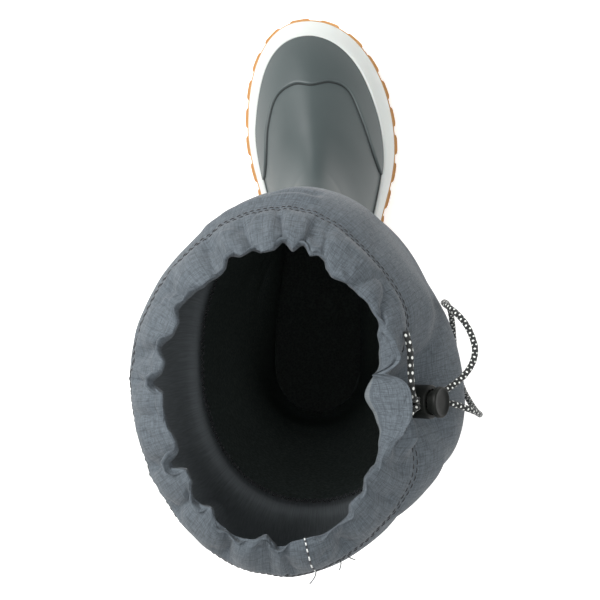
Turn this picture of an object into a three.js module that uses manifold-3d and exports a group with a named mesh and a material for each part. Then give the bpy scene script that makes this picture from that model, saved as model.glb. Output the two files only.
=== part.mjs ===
// A right rubber boot with a gum outsole, an off-white foxing band and a fabric cuff
// that a drawcord gathers at the top. Millimetres, toe towards +Y, outer side towards +X, up +Z.
import * as THREE from "three";
import { mergeVertices } from "three/addons/utils/BufferGeometryUtils.js";
import Module from "manifold-3d";

const wasm = await Module();
wasm.setup();

// Driving dimensions. The last's own frame has the back of the outsole near y = 0 and the floor at z = 0.
const TOE_TIP = 283;
const TOE_AXIS = -5;
const BALL_WIDTH = 99.5;
const BALL_OUTER_SHARE = 0.533;
const INSTEP_HEIGHT = 94;
const TOE_HEIGHT = 43.5;
const COLLAR_HEIGHT = 290;
const SHAFT_DEPTH = 142;
const SHAFT_WIDTH = 112;
const SHAFT_BACK = 1;
const SHAFT_CENTRE = SHAFT_BACK + SHAFT_DEPTH / 2;
const HEEL_THICKNESS = 22;
const BALL_THICKNESS = 11.5;
const TOE_THICKNESS = 20;
const WALL = 2.2;
const GAP = 0.3;
const FOXING_THICKNESS = 2.5;
const FOXING_HEIGHT = 21;
const TOE_CAP_THICKNESS = 1.2;
const INSOLE_THICKNESS = 4;
const SOLE_LIP = 0.9;
const LUG_REACH = 1.2;
const LUG_DEPTH = 4.5;
const CUFF_TOP = 383;
const CORD_DIAMETER = 2.5;

// Roundness of the shaft's oval: 2 is an ellipse, more is fuller at the corners.
const SHAFT_ROUNDNESS = 2.2;
const HEEL_ROUNDING = 40;

const { clamp, lerp, smoothstep, degToRad } = THREE.MathUtils;

// Footprint of the upper at the feather line, one row for each side. Reach is the distance from the
// boot's centre line, toe is the exponent of the toe's superellipse, and fullness scales the crown.
const SIDES = {
  outer: { sign: 1, heel: 33.5, waist: 39, ball: BALL_WIDTH * BALL_OUTER_SHARE,
    heelAt: 45, waistAt: 118, ballAt: 195, toe: 2.0, fullness: 0.9 },
  inner: { sign: -1, heel: 32.5, waist: 30, ball: BALL_WIDTH * (1 - BALL_OUTER_SHARE),
    heelAt: 45, waistAt: 125, ballAt: 211, toe: 2.35, fullness: 1.03 },
};

// The back of the boot, seen from the side.
const BACK_LINE = [
  { z: -20, y: 7 },
  { z: 20, y: 6 },
  { z: 45, y: 3.5 },
  { z: 72, y: 5 },
  { z: 104, y: 7.5 },
  { z: 142, y: 6 },
  { z: 184, y: 3.5 },
  { z: 226, y: 2 },
  { z: 270, y: SHAFT_BACK },
  { z: 320, y: SHAFT_BACK },
];

// Sections of the last and leg, from the collar round the heel to the toe. Each runs from a foot point,
// on the back line or below the sole, to a top point on the front line. Leg blends the footprint's
// width into the leg's half width, crown is the exponent of the section's rounding at the front, and
// steps is how many loops of the mesh lead up to the row.
const UNDERCUT = 10;
const SECTIONS = [
  { name: "over_rim", topY: SHAFT_BACK + SHAFT_DEPTH, topZ: COLLAR_HEIGHT + 14, backZ: COLLAR_HEIGHT + 14,
    leg: 1, half: SHAFT_WIDTH / 2, crown: SHAFT_ROUNDNESS, steps: 1 },
  { name: "rim", topY: SHAFT_BACK + SHAFT_DEPTH, topZ: COLLAR_HEIGHT + 8, backZ: COLLAR_HEIGHT + 8,
    leg: 1, half: SHAFT_WIDTH / 2, crown: SHAFT_ROUNDNESS, steps: 1 },
  { name: "collar", topY: SHAFT_BACK + SHAFT_DEPTH, topZ: COLLAR_HEIGHT - 16, backZ: COLLAR_HEIGHT - 16,
    leg: 1, half: SHAFT_WIDTH / 2, crown: SHAFT_ROUNDNESS, steps: 1 },
  { name: "calf", topY: 140.5, topZ: 228, backZ: 226, leg: 1, half: 55, crown: 2.2, steps: 1 },
  { name: "shaft", topY: 138, topZ: 186, backZ: 184, leg: 1, half: 51.5, crown: 2.15, steps: 1 },
  { name: "ankle", topY: 139, topZ: 151, backZ: 142, leg: 1, half: 46.5, crown: 2.1, steps: 2 },
  { name: "bend", topY: 145.5, topZ: 124, backZ: 104, leg: 0.8, half: 43.5, crown: 2.05, steps: 2 },
  { name: "throat", topY: 155, topZ: 107, backZ: 72, leg: 0.55, half: 42, crown: 2, steps: 2 },
  { name: "instep", topY: 167, topZ: INSTEP_HEIGHT, backZ: 45, leg: 0.3, half: 41, crown: 1.95, steps: 2 },
  { name: "heel_seat", topY: 178, topZ: 86, backZ: 20, leg: 0.12, half: 40, crown: 1.9, steps: 2 },
  { name: "heel", topY: 189, topZ: 79.5, footY: 30, leg: 0, half: 40, crown: 1.85, steps: 2 },
  { name: "shank", topY: 201, topZ: 73.5, footY: 85, leg: 0, half: 40, crown: 1.8, steps: 2 },
  { name: "waist", topY: 213, topZ: 68.5, footY: 135, leg: 0, half: 40, crown: 1.8, steps: 2 },
  { name: "joint", topY: 225.5, topZ: 63, footY: 180, leg: 0, half: 40, crown: 1.8, steps: 2 },
  { name: "ball", topY: 238.5, topZ: 57, footY: 213, leg: 0, half: 40, crown: 1.8, steps: 1 },
  { name: "vamp", topY: 251, topZ: 50.5, footY: 238, leg: 0, half: 40, crown: 1.85, steps: 1 },
  { name: "toe", topY: 262, topZ: TOE_HEIGHT, footY: 256, leg: 0, half: 40, crown: 1.9, steps: 1 },
  { name: "toe_box", topY: 271, topZ: 36.5, footY: 269, leg: 0, half: 40, crown: 1.95, steps: 1 },
  { name: "toe_front", topY: 278, topZ: 29, footY: 278, leg: 0, half: 40, crown: 2, steps: 2 },
  { name: "toe_tip", topY: TOE_TIP, topZ: 21, footY: TOE_TIP, leg: 0, half: 40, crown: 2, steps: 2 },
];
const POINTS_PER_SIDE = 12;

// A column of a table at a fractional row, on a smooth curve through the rows.
function columnAt(rows, column, place) {
  const last = rows.length - 1;
  const row = clamp(Math.floor(place), 0, last - 1);
  const t = place - row;
  const at = (index) => rows[clamp(index, 0, last)][column];
  const [p0, p1, p2, p3] = [at(row - 1), at(row), at(row + 1), at(row + 2)];
  const bend = (2 * p0 - 5 * p1 + 4 * p2 - p3) * t * t + (3 * p1 - p0 - 3 * p2 + p3) * t * t * t;
  return p1 + ((p2 - p0) * t + bend) / 2;
}

// A table read as a function of one of its columns, which rises from row to row.
function tableAt(rows, key, column, value) {
  const index = rows.findIndex((row) => row[key] > value);
  const upper = clamp(index < 0 ? rows.length - 1 : index, 1, rows.length - 1);
  const from = rows[upper - 1][key];
  const t = clamp((value - from) / (rows[upper][key] - from), 0, 1);
  return columnAt(rows, column, upper - 1 + t);
}

const backLine = (z) => tableAt(BACK_LINE, "z", "y", z);

// Quarter of a superellipse: 0 at the end and 1 at full width.
const rounding = (inset, exponent) => (1 - (1 - clamp(inset, 0, 1)) ** exponent) ** (1 / exponent);

function sideReach(side, y) {
  if (y > side.ballAt) {
    const along = (y - side.ballAt) / (TOE_TIP - side.ballAt);
    const tip = side.sign * TOE_AXIS;
    return tip + (side.ball - tip) * rounding(1 - along, side.toe);
  }
  if (y > side.waistAt) {
    return lerp(side.waist, side.ball, smoothstep(y, side.waistAt, side.ballAt));
  }
  return lerp(side.heel, side.waist, smoothstep(y, side.heelAt, side.waistAt));
}

// The ridge of the instep leans to the toe's axis, and every half width is measured from it.
const INSTEP_START = 130;
const ridge = (y) => TOE_AXIS * smoothstep(y, INSTEP_START, TOE_TIP);

// The back is round in plan: tight at the heel's height, half the shaft's depth above the ankle.
const HEEL_TOP = 40;
const ANKLE_TOP = 170;
function heelRounding(y, z) {
  const length = lerp(HEEL_ROUNDING, SHAFT_DEPTH / 2, smoothstep(z, HEEL_TOP, ANKLE_TOP));
  return rounding((y - backLine(z)) / length, SHAFT_ROUNDNESS);
}

// Stations along the sole, from the end of the heel to the start of the toe spring.
const SOLE = { heelEnd: 66, breast: 72, archFrom: 88, archTo: 112, treadFrom: 138, ball: 205, spring: 228 };

// Top of the outsole under the upper: heel, shank, ball and toe spring.
function soleTop(y) {
  if (y > SOLE.ball) {
    const toe = (y - SOLE.ball) / (TOE_TIP - SOLE.ball);
    return BALL_THICKNESS + (TOE_THICKNESS - BALL_THICKNESS) * toe ** 2;
  }
  return lerp(HEEL_THICKNESS, BALL_THICKNESS, smoothstep(y, SOLE.heelEnd, SOLE.ball));
}

// Ground line of the tread: flat at heel and forefoot, rising at the toe.
const TOE_SPRING = 8;
const treadBottom = (y) => TOE_SPRING * (Math.max(0, y - SOLE.spring) / (TOE_TIP - SOLE.spring)) ** 2;

// Underside of the sole plate between the lugs, arched under the shank.
const SHANK_ARCH = 5;
function plateBottom(y) {
  const arch = smoothstep(y, SOLE.breast, SOLE.archFrom) * (1 - smoothstep(y, SOLE.archTo, SOLE.treadFrom));
  return treadBottom(y) + LUG_DEPTH + SHANK_ARCH * arch;
}

// The foxing is a little lower round the toe.
const FOXING_TOE_DROP = 2.5;
const foxingTop = (y) => soleTop(y) + FOXING_HEIGHT - FOXING_TOE_DROP * smoothstep(y, SOLE.spring, TOE_TIP);

// A closed triangle mesh becomes a solid for joining and cutting.
function toSolid(geometry) {
  geometry.deleteAttribute("normal");
  geometry.deleteAttribute("uv");
  const merged = mergeVertices(geometry, 1e-4);
  const index = merged.index.array;
  const triangles = [];
  for (let k = 0; k < index.length; k += 3) {
    const [a, b, c] = [index[k], index[k + 1], index[k + 2]];
    if (a !== b && b !== c && c !== a) triangles.push(a, b, c);
  }
  const vertProperties = new Float32Array(merged.attributes.position.array);
  const triVerts = new Uint32Array(triangles);
  return new wasm.Manifold(new wasm.Mesh({ numProp: 3, vertProperties, triVerts }));
}

function meshOf(name, solid, finish) {
  const { vertProperties, triVerts } = solid.getMesh();
  const geometry = new THREE.BufferGeometry();
  geometry.setAttribute("position", new THREE.BufferAttribute(vertProperties, 3));
  geometry.setIndex(new THREE.BufferAttribute(triVerts, 1));
  geometry.computeVertexNormals();
  const mesh = new THREE.Mesh(geometry, finish);
  mesh.name = name;
  return mesh;
}

// One section of the last as a closed loop: up the outer side, over the front line, down the inner side.
function sectionLoop(place) {
  const read = (column) => columnAt(SECTIONS, column, place);
  const [topY, topZ, leg, half, crown] = ["topY", "topZ", "leg", "half", "crown"].map(read);
  const [footY, footZ] = footPoint(place);
  const featherShare = clamp((soleTop(footY) - footZ) / (topZ - footZ), 0, 0.9);
  const widest = lerp(featherShare, 0.5, leg);
  const sidePoint = (side, step) => {
    const share = (1 - Math.cos((Math.PI * step) / POINTS_PER_SIDE)) / 2;
    const y = lerp(footY, topY, share);
    const z = lerp(footZ, topZ, share);
    const front = rounding((1 - share) / (1 - widest), crown * lerp(side.fullness, 1, leg));
    const reach = lerp(sideReach(side, y) - side.sign * ridge(y), half, leg);
    return new THREE.Vector3(ridge(y) + side.sign * reach * front * heelRounding(y, z), y, z);
  };
  const steps = Array.from({ length: POINTS_PER_SIDE + 1 }, (_, step) => step);
  const up = steps.map((step) => sidePoint(SIDES.outer, step));
  const down = steps.slice(0, -1).reverse().map((step) => sidePoint(SIDES.inner, step));
  return [...up, ...down];
}

// Rows with a back height start on the back line, and the others start below the sole.
function footPoint(place) {
  const pointOf = (row) => {
    if (row.backZ !== undefined) return { y: backLine(row.backZ), z: row.backZ };
    return { y: row.footY, z: soleTop(row.footY) - UNDERCUT };
  };
  const rows = SECTIONS.map(pointOf);
  return [columnAt(rows, "y", place), columnAt(rows, "z", place)];
}

// The closed form of foot and leg, moved outwards along its normals by an offset.
function bootForm(offset) {
  const loops = [];
  SECTIONS.forEach(({ steps }, row) => {
    for (let step = steps - 1; step >= 0; step -= 1) loops.push(sectionLoop(row - step / steps));
  });
  const count = loops.length - 1;
  const around = loops[0].length;
  const points = loops.flat();
  const rimCentre = points.length;
  points.push(new THREE.Vector3(0, SHAFT_CENTRE, loops[0][0].z));
  const index = [];
  for (let k = 0; k < around; k += 1) {
    const next = (k + 1) % around;
    index.push(rimCentre, k, next);
    for (let row = 0; row < count; row += 1) {
      const [here, ahead] = [row * around, (row + 1) * around];
      index.push(here + k, ahead + k, ahead + next, here + k, ahead + next, here + next);
    }
  }
  const loose = new THREE.BufferGeometry().setFromPoints(points);
  loose.setIndex(index);
  const geometry = mergeVertices(loose, 1e-4);
  geometry.computeVertexNormals();
  const { position, normal } = geometry.attributes;
  const point = new THREE.Vector3();
  const outward = new THREE.Vector3();
  for (let k = 0; k < position.count; k += 1) {
    outward.fromBufferAttribute(normal, k);
    point.fromBufferAttribute(position, k).addScaledVector(outward, offset);
    position.setXYZ(k, point.x, point.y, point.z);
  }
  return toSolid(geometry);
}

// A solid across the boot between two lines of the side view.
const BAND = { reach: 120, from: -20, pitch: 12.5, stations: 27 };
function sideBand(lower, upper) {
  const stations = Array.from({ length: BAND.stations }, (_, k) => BAND.from + k * BAND.pitch);
  const outline = [
    ...stations.map((y) => new THREE.Vector2(y, lower(y))),
    ...stations.reverse().map((y) => new THREE.Vector2(y, upper(y))),
  ];
  const depth = 2 * BAND.reach;
  const geometry = new THREE.ExtrudeGeometry(new THREE.Shape(outline), { depth, bevelEnabled: false });
  geometry.translate(0, 0, -BAND.reach);
  const along = new THREE.Vector3(0, 1, 0);
  const up = new THREE.Vector3(0, 0, 1);
  const across = new THREE.Vector3(1, 0, 0);
  geometry.applyMatrix4(new THREE.Matrix4().makeBasis(along, up, across));
  return toSolid(geometry);
}

// A solid straight up from a plan outline.
function planPrism(outline, top) {
  return toSolid(new THREE.ExtrudeGeometry(new THREE.Shape(outline), { depth: top, bevelEnabled: false }));
}

// Outline of the footprint, offset outwards, anticlockwise from the back of the heel.
const OUTLINE_STEPS = 34;
function footprint(offset) {
  const heel = backLine(HEEL_THICKNESS);
  const at = (side, step) => {
    const y = lerp(heel, TOE_TIP, (1 - Math.cos((Math.PI * step) / OUTLINE_STEPS)) / 2);
    const reach = sideReach(side, y) - side.sign * ridge(y);
    return new THREE.Vector2(ridge(y) + side.sign * reach * heelRounding(y, HEEL_THICKNESS), y);
  };
  const outline = [];
  for (let step = 0; step < OUTLINE_STEPS; step += 1) outline.push(at(SIDES.outer, step));
  for (let step = OUTLINE_STEPS; step > 0; step -= 1) outline.push(at(SIDES.inner, step));
  return outline.map((point, k) => {
    const before = outline.at(k - 1);
    const after = outline[(k + 1) % outline.length];
    const along = after.clone().sub(before).normalize();
    return new THREE.Vector2(point.x + along.y * offset, point.y - along.x * offset);
  });
}

const finishes = {
  gum: new THREE.MeshStandardMaterial({ color: 0xd7a055, roughness: 0.6, metalness: 0 }),
  foxing: new THREE.MeshStandardMaterial({ color: 0xe6eae6, roughness: 0.5, metalness: 0 }),
  rubber: new THREE.MeshStandardMaterial({ color: 0x586262, roughness: 0.45, metalness: 0 }),
  insole: new THREE.MeshStandardMaterial({ color: 0x2a2c2c, roughness: 0.9, metalness: 0 }),
  fabric: new THREE.MeshStandardMaterial({ color: 0x6e7680, roughness: 0.85, metalness: 0 }),
  cord: new THREE.MeshStandardMaterial({ color: 0x1a1a1a, roughness: 0.8, metalness: 0 }),
  lock: new THREE.MeshStandardMaterial({ color: 0x3a3c37, roughness: 0.5, metalness: 0 }),
};

const boot = new THREE.Group();

// Upper, foxing, toe cap and insole are cut between offsets of the same form.
const upperBand = sideBand((y) => soleTop(y) + GAP, () => COLLAR_HEIGHT);
const upper = bootForm(0).subtract(bootForm(-WALL)).intersect(upperBand);
boot.add(meshOf("upper", upper, finishes.rubber));

const foxingBand = sideBand((y) => soleTop(y) + GAP, foxingTop);
const foxing = bootForm(GAP + FOXING_THICKNESS).subtract(bootForm(GAP)).intersect(foxingBand);
boot.add(meshOf("foxing", foxing, finishes.foxing));

const insoleBand = sideBand((y) => soleTop(y) + GAP, (y) => soleTop(y) + GAP + INSOLE_THICKNESS);
boot.add(meshOf("insole", bootForm(-WALL - 2 * GAP).intersect(insoleBand), finishes.insole));

// Rear edge of the toe cap in plan: two soft lobes over the vamp and a side arm on each side.
const TOE_CAP_EDGE = [
  { name: "inner_end", x: -60, y: 150 },
  { name: "inner_arm", x: -37.5, y: 170 },
  { name: "inner_side", x: -33, y: 208 },
  { name: "inner_shoulder", x: -27, y: 228 },
  { name: "inner_lobe", x: -15, y: 235.8 },
  { name: "dip", x: -3, y: 234.8 },
  { name: "outer_lobe", x: 10, y: 237.4 },
  { name: "outer_shoulder", x: 22, y: 232 },
  { name: "outer_side", x: 31.5, y: 211 },
  { name: "outer_arm", x: 44, y: 177 },
  { name: "outer_end", x: 62, y: 150 },
];
const capEdge = new THREE.SplineCurve(TOE_CAP_EDGE.map(({ x, y }) => new THREE.Vector2(x, y)));
const capPlan = [...capEdge.getPoints(40), new THREE.Vector2(90, 320), new THREE.Vector2(-90, 320)];
const capBand = sideBand((y) => foxingTop(y) + GAP, () => COLLAR_HEIGHT / 2);
const capShell = bootForm(GAP + TOE_CAP_THICKNESS).subtract(bootForm(GAP));
const toeCap = capShell.intersect(planPrism(capPlan, COLLAR_HEIGHT)).intersect(capBand);
boot.add(meshOf("toe_cap", toeCap, finishes.rubber));

// Outsole: a strip under the foxing, a plate set in below it, lugs round the edge and in the middle.
const STRIP_HEIGHT = 6;
const STRIP_OFFSET = FOXING_THICKNESS + GAP + SOLE_LIP;
const PLATE_INSET = 1.2;
const SOLE_CEILING = 60;
const strip = planPrism(footprint(STRIP_OFFSET), SOLE_CEILING)
  .intersect(sideBand((y) => soleTop(y) - STRIP_HEIGHT, soleTop));
const plate = planPrism(footprint(STRIP_OFFSET - PLATE_INSET), SOLE_CEILING)
  .intersect(sideBand(plateBottom, (y) => soleTop(y) - STRIP_HEIGHT / 2));

// A block of the tread from the ground line up into the plate, turned in plan.
function lug(x, y, length, width, turn, top) {
  const bottom = treadBottom(y);
  const geometry = new THREE.BoxGeometry(length, width, top - bottom);
  geometry.rotateZ(turn);
  geometry.translate(x, y, (top + bottom) / 2);
  return toSolid(geometry);
}

const EDGE_LUG = { pitch: 19.4, length: 14.8, width: 12, belowTop: 2.6, clear: 4 };
function edgeLugs() {
  const edge = footprint(STRIP_OFFSET + LUG_REACH - EDGE_LUG.width / 2);
  const curve = new THREE.SplineCurve([...edge, edge[0]]);
  curve.arcLengthDivisions = 600;
  const count = Math.round(curve.getLength() / EDGE_LUG.pitch);
  const lugs = [];
  for (let k = 0; k < count; k += 1) {
    const { x, y } = curve.getPointAt(k / count);
    const along = curve.getTangentAt(k / count);
    if (y > SOLE.breast + 4 && y < SOLE.treadFrom - 8) continue;
    lugs.push(lug(x, y, EDGE_LUG.length, EDGE_LUG.width, along.angle(), soleTop(y) - EDGE_LUG.belowTop));
  }
  return lugs;
}

// Rows of centre lugs: each row is a shallow chevron of two bars that meet on the row's middle.
const CENTRE_LUGS = [
  { zone: "heel", from: 20, to: 62, rows: 3, bar: 15, width: 8, slant: 12 },
  { zone: "forefoot", from: 142, to: 250, rows: 7, bar: 24, width: 8.5, slant: 16 },
];
function centreLugs() {
  const lugs = [];
  for (const zone of CENTRE_LUGS) {
    for (let row = 0; row < zone.rows; row += 1) {
      const y = lerp(zone.from, zone.to, row / (zone.rows - 1));
      const middle = (sideReach(SIDES.outer, y) - sideReach(SIDES.inner, y)) / 2;
      const halfWidth = (sideReach(SIDES.outer, y) + sideReach(SIDES.inner, y)) / 2;
      const free = halfWidth - EDGE_LUG.width - EDGE_LUG.clear;
      const bar = Math.min(zone.bar, free);
      for (const side of Object.values(SIDES)) {
        const x = middle + (side.sign * bar) / 2;
        const turn = -side.sign * degToRad(zone.slant);
        lugs.push(lug(x, y, bar + 1, zone.width, turn, plateBottom(y) + 1.5));
      }
    }
  }
  return lugs;
}

const outsole = [...edgeLugs(), ...centreLugs()].reduce((sole, block) => sole.add(block), strip.add(plate));
boot.add(meshOf("outsole", outsole, finishes.gum));

// Rings of the fabric cuff from the seam inside the rubber collar to the top of the gathered hem.
// Wall is the horizontal thickness, ruffle and billow scale the folds and the slack of the cloth, and
// pinch is the depth of the tuck at the cord lock.
const CUFF_TUCK = GAP + 0.5;
const CUFF_RINGS = [
  { name: "tuck", z: COLLAR_HEIGHT - 13, half: SHAFT_WIDTH / 2 - WALL - CUFF_TUCK,
    depth: SHAFT_DEPTH / 2 - WALL - CUFF_TUCK, x: 0, y: SHAFT_CENTRE, wall: 1.2,
    ruffle: 0, pinch: 0, billow: 0 },
  { name: "seam", z: COLLAR_HEIGHT + 1, half: SHAFT_WIDTH / 2 - WALL - CUFF_TUCK,
    depth: SHAFT_DEPTH / 2 - WALL - CUFF_TUCK, x: 0, y: SHAFT_CENTRE, wall: 1.2,
    ruffle: 0, pinch: 0, billow: 0 },
  { name: "roll", z: COLLAR_HEIGHT + 5, half: 57.5, depth: 72.5, x: -0.3, y: 72, wall: 1.3, ruffle: 0,
    pinch: 0, billow: 0 },
  { name: "spill", z: 304, half: 61.5, depth: 75.5, x: -0.8, y: 72, wall: 1.3, ruffle: 0.1, pinch: 0,
    billow: 0.6 },
  { name: "belly", z: 322, half: 64.5, depth: 77, x: -1.6, y: 72, wall: 1.3, ruffle: 0.2, pinch: 1,
    billow: 1 },
  { name: "chest", z: 341, half: 65.5, depth: 76.5, x: -3.6, y: 71.5, wall: 1.3, ruffle: 0.35, pinch: 12.5,
    billow: 1 },
  { name: "gather", z: 354, half: 63, depth: 75.5, x: -7.2, y: 69, wall: 1.6, ruffle: 0.6, pinch: 22.5,
    billow: 0.7 },
  { name: "stitch", z: 364, half: 59, depth: 72, x: -10.4, y: 67.2, wall: 4, ruffle: 0.9, pinch: 22,
    billow: 0.4 },
  { name: "tunnel", z: 373, half: 55.5, depth: 68.2, x: -11.6, y: 67.6, wall: 8, ruffle: 1.1, pinch: 17.5,
    billow: 0 },
  { name: "crown", z: CUFF_TOP - 3, half: 51, depth: 63.2, x: -11.6, y: 68.5, wall: 6, ruffle: 1.1, pinch: 15,
    billow: 0 },
  { name: "top", z: CUFF_TOP, half: 47.2, depth: 59.2, x: -11.5, y: 69, wall: 2.6, ruffle: 1, pinch: 14,
    billow: 0 },
];

// Folds of the gathered hem, anticlockwise from the outer side: where, how deep inwards and how wide.
const CUFF_FOLDS = [
  { at: 24, deep: 2.5, wide: 6 },
  { at: 41, deep: 1.5, wide: 5 },
  { at: 58, deep: 5, wide: 9 },
  { at: 74, deep: 2.5, wide: 4 },
  { at: 86, deep: 3.5, wide: 3.5 },
  { at: 100, deep: 3, wide: 5 },
  { at: 127, deep: 4.5, wide: 7 },
  { at: 155, deep: 4.5, wide: 4.5 },
  { at: 174, deep: 2, wide: 6 },
  { at: 200, deep: 2.5, wide: 6 },
  { at: 214, deep: 3, wide: 5 },
  { at: 231, deep: 4.5, wide: 5 },
  { at: 260, deep: 5, wide: 5 },
  { at: 284, deep: 2.5, wide: 5 },
  { at: 309, deep: 2.5, wide: 5 },
  { at: 323, deep: 2.5, wide: 4.5 },
  { at: 336, deep: 2, wide: 5 },
];

// Slack of the cloth between hem and collar: flatter on the diagonals, pulled out beside the lock.
const CUFF_BILLOWS = [
  { at: 42, deep: 7, wide: 25 },
  { at: 128, deep: 0.5, wide: 22 },
  { at: 160, deep: -1.8, wide: 18 },
  { at: 192, deep: 1.5, wide: 12 },
  { at: 222, deep: 1.5, wide: 18 },
  { at: 305, deep: 2, wide: 20 },
  { at: -18, deep: -5, wide: 20 },
];
const PINCH = { at: 0, wide: 18 };
const CUFF_COLUMNS = 72;

const turnBetween = (angle, at) => ((angle - at + 540) % 360) - 180;
const swell = (angle, fold) => Math.exp(-((turnBetween(angle, fold.at) / fold.wide) ** 2));
const depthOf = (folds, angle) => folds.reduce((sum, fold) => sum + fold.deep * swell(angle, fold), 0);

function cuffInset(ring, angle) {
  const folds = ring.ruffle * depthOf(CUFF_FOLDS, angle) + ring.billow * depthOf(CUFF_BILLOWS, angle);
  return folds + ring.pinch * swell(angle, PINCH);
}

// A superellipse ring that turns from the shaft's roundness into a leaner oval above the seam.
const HEM_ROUNDNESS = 1.9;
const BILLOW_TOP = 345;
function cuffPoint(ring, angle, inset) {
  const above = smoothstep(ring.z, COLLAR_HEIGHT, BILLOW_TOP);
  const fullness = 2 / lerp(SHAFT_ROUNDNESS, HEM_ROUNDNESS, above);
  const [cos, sin] = [Math.cos(degToRad(angle)), Math.sin(degToRad(angle))];
  const fold = cuffInset(ring, angle) + inset;
  const x = ring.x + (ring.half - fold) * Math.sign(cos) * Math.abs(cos) ** fullness;
  const y = ring.y + (ring.depth - fold) * Math.sign(sin) * Math.abs(sin) ** fullness;
  return new THREE.Vector3(x, y, ring.z);
}

function cuffRing(ring, inset) {
  return Array.from({ length: CUFF_COLUMNS }, (_, k) => cuffPoint(ring, (360 * k) / CUFF_COLUMNS, inset));
}

function cuffGeometry() {
  const outside = CUFF_RINGS.map((ring) => cuffRing(ring, 0));
  const inside = CUFF_RINGS.map((ring) => cuffRing(ring, ring.wall)).reverse();
  const rings = [...outside, ...inside];
  const index = [];
  for (let row = 0; row < rings.length; row += 1) {
    const here = row * CUFF_COLUMNS;
    const above = ((row + 1) % rings.length) * CUFF_COLUMNS;
    for (let k = 0; k < CUFF_COLUMNS; k += 1) {
      const next = (k + 1) % CUFF_COLUMNS;
      index.push(here + k, here + next, above + next, here + k, above + next, above + k);
    }
  }
  const geometry = new THREE.BufferGeometry().setFromPoints(rings.flat());
  geometry.setIndex(index);
  return geometry;
}
boot.add(meshOf("cuff", toSolid(cuffGeometry()), finishes.fabric));

// Cord lock: a barrel with a spring plunger. Both have a crosswise slot that the two cords run through.
const LOCK_CENTRE = new THREE.Vector3(44.5, 64, 364.4);
const LOCK_AXIS = new THREE.Vector3(0.82, 0.05, 0.57).normalize();
const CORD_AXIS = new THREE.Vector3(0.57, 0, -0.82).normalize();
const BARREL = { radius: 6.5, from: -5.6, to: 3.2, bore: 4.8, floor: -4.5 };
const PLUNGER = { stem: 4.5, from: -2.3, to: 5.5, head: 6, headTo: 7.6, travel: 1.8 };
const SLOT = { width: 2 * CORD_DIAMETER + 3 * GAP, height: CORD_DIAMETER + 2 * GAP };
const CORD_SPACING = (CORD_DIAMETER + GAP) / 2;
const LOCK_FACETS = 16;

const slotSide = new THREE.Vector3().crossVectors(LOCK_AXIS, CORD_AXIS).normalize();
const cordDirection = new THREE.Vector3().crossVectors(slotSide, LOCK_AXIS).normalize();
const lockFrame = new THREE.Matrix4()
  .makeBasis(cordDirection, slotSide, LOCK_AXIS)
  .setPosition(LOCK_CENTRE);

function lockDisc(radius, from, to) {
  const geometry = new THREE.CylinderGeometry(radius, radius, to - from, LOCK_FACETS);
  geometry.rotateX(Math.PI / 2);
  geometry.translate(0, 0, (from + to) / 2);
  return toSolid(geometry.applyMatrix4(lockFrame));
}

function lockSlot(from, to) {
  const geometry = new THREE.BoxGeometry(4 * BARREL.radius, SLOT.width, to - from);
  geometry.translate(0, 0, (from + to) / 2);
  return toSolid(geometry.applyMatrix4(lockFrame));
}

const barrel = lockDisc(BARREL.radius, BARREL.from, BARREL.to)
  .subtract(lockDisc(BARREL.bore, BARREL.floor, BARREL.to + 1))
  .subtract(lockSlot(-SLOT.height / 2, SLOT.height / 2));
boot.add(meshOf("lock_body", barrel, finishes.lock));

const plunger = lockDisc(PLUNGER.stem, PLUNGER.from, PLUNGER.to + 0.5)
  .add(lockDisc(PLUNGER.head, PLUNGER.to, PLUNGER.headTo))
  .subtract(lockSlot(-SLOT.height / 2, SLOT.height / 2 + PLUNGER.travel));
boot.add(meshOf("lock_button", plunger, finishes.lock));

// The cord is a tube along a smooth curve through hand-placed points.
function cordTube(points, steps) {
  const section = new THREE.Shape().absarc(0, 0, CORD_DIAMETER / 2, 0, 2 * Math.PI);
  const path = new THREE.CatmullRomCurve3(points.map((point) => new THREE.Vector3(...point)));
  return toSolid(new THREE.ExtrudeGeometry(section, { steps, curveSegments: 4, extrudePath: path }));
}

// A point on one cord inside or near the lock, at a distance along its slot.
function inSlot(side, along) {
  return new THREE.Vector3(along, side * CORD_SPACING, 0).applyMatrix4(lockFrame).toArray();
}
const FRONT = Math.sign(slotSide.y);
const REAR = -FRONT;

// Each run of cord leaves its end of the hem's tunnel beside the tuck and turns into the lock.
const tunnel = CUFF_RINGS.find((ring) => ring.name === "tunnel");
const MOUTHS = { front: 16, rear: -12 };
const mouth = (angle) => cuffPoint(tunnel, angle, -CORD_DIAMETER / 2 - 2 * GAP).toArray();

const frontRun = [
  mouth(MOUTHS.front),
  [38.2, 78, 373.3],
  [38.6, 71.4, 373.4],
  [39.2, 67.2, 372.3],
  inSlot(FRONT, -6.4),
  inSlot(FRONT, -GAP / 2),
];
const rearRun = [
  mouth(MOUTHS.rear),
  [36.6, 58.8, 373.4],
  [38.5, 61.2, 372.6],
  inSlot(REAR, -6.6),
  inSlot(REAR, -GAP / 2),
];
const loop = [
  inSlot(FRONT, GAP / 2),
  inSlot(FRONT, 7),
  [52.4, 66.8, 355.9],
  [57, 69.8, 355.3],
  [61, 73.4, 354.9],
  [64, 78, 354.2],
  [65.1, 83, 353],
  [64, 88.2, 351.5],
  [61.8, 92.8, 349.8],
  [58.6, 96.8, 347],
  [55.6, 99.4, 342],
  [55, 100.4, 334],
  [57.2, 99.8, 323.6],
  [60.2, 96, 313],
  [62.2, 88.6, 305],
  [63.4, 78.8, 301.2],
  [64.4, 69, 303],
  [66.2, 61.6, 309.8],
  [67.8, 57.4, 319.6],
  [68.8, 55.2, 330],
  [69, 55.2, 339.4],
  [67, 57, 347],
  [62.6, 59.4, 352.6],
  [57, 61.6, 355],
  [52.4, 62.4, 356],
  inSlot(REAR, 7),
  inSlot(REAR, GAP / 2),
];
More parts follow.
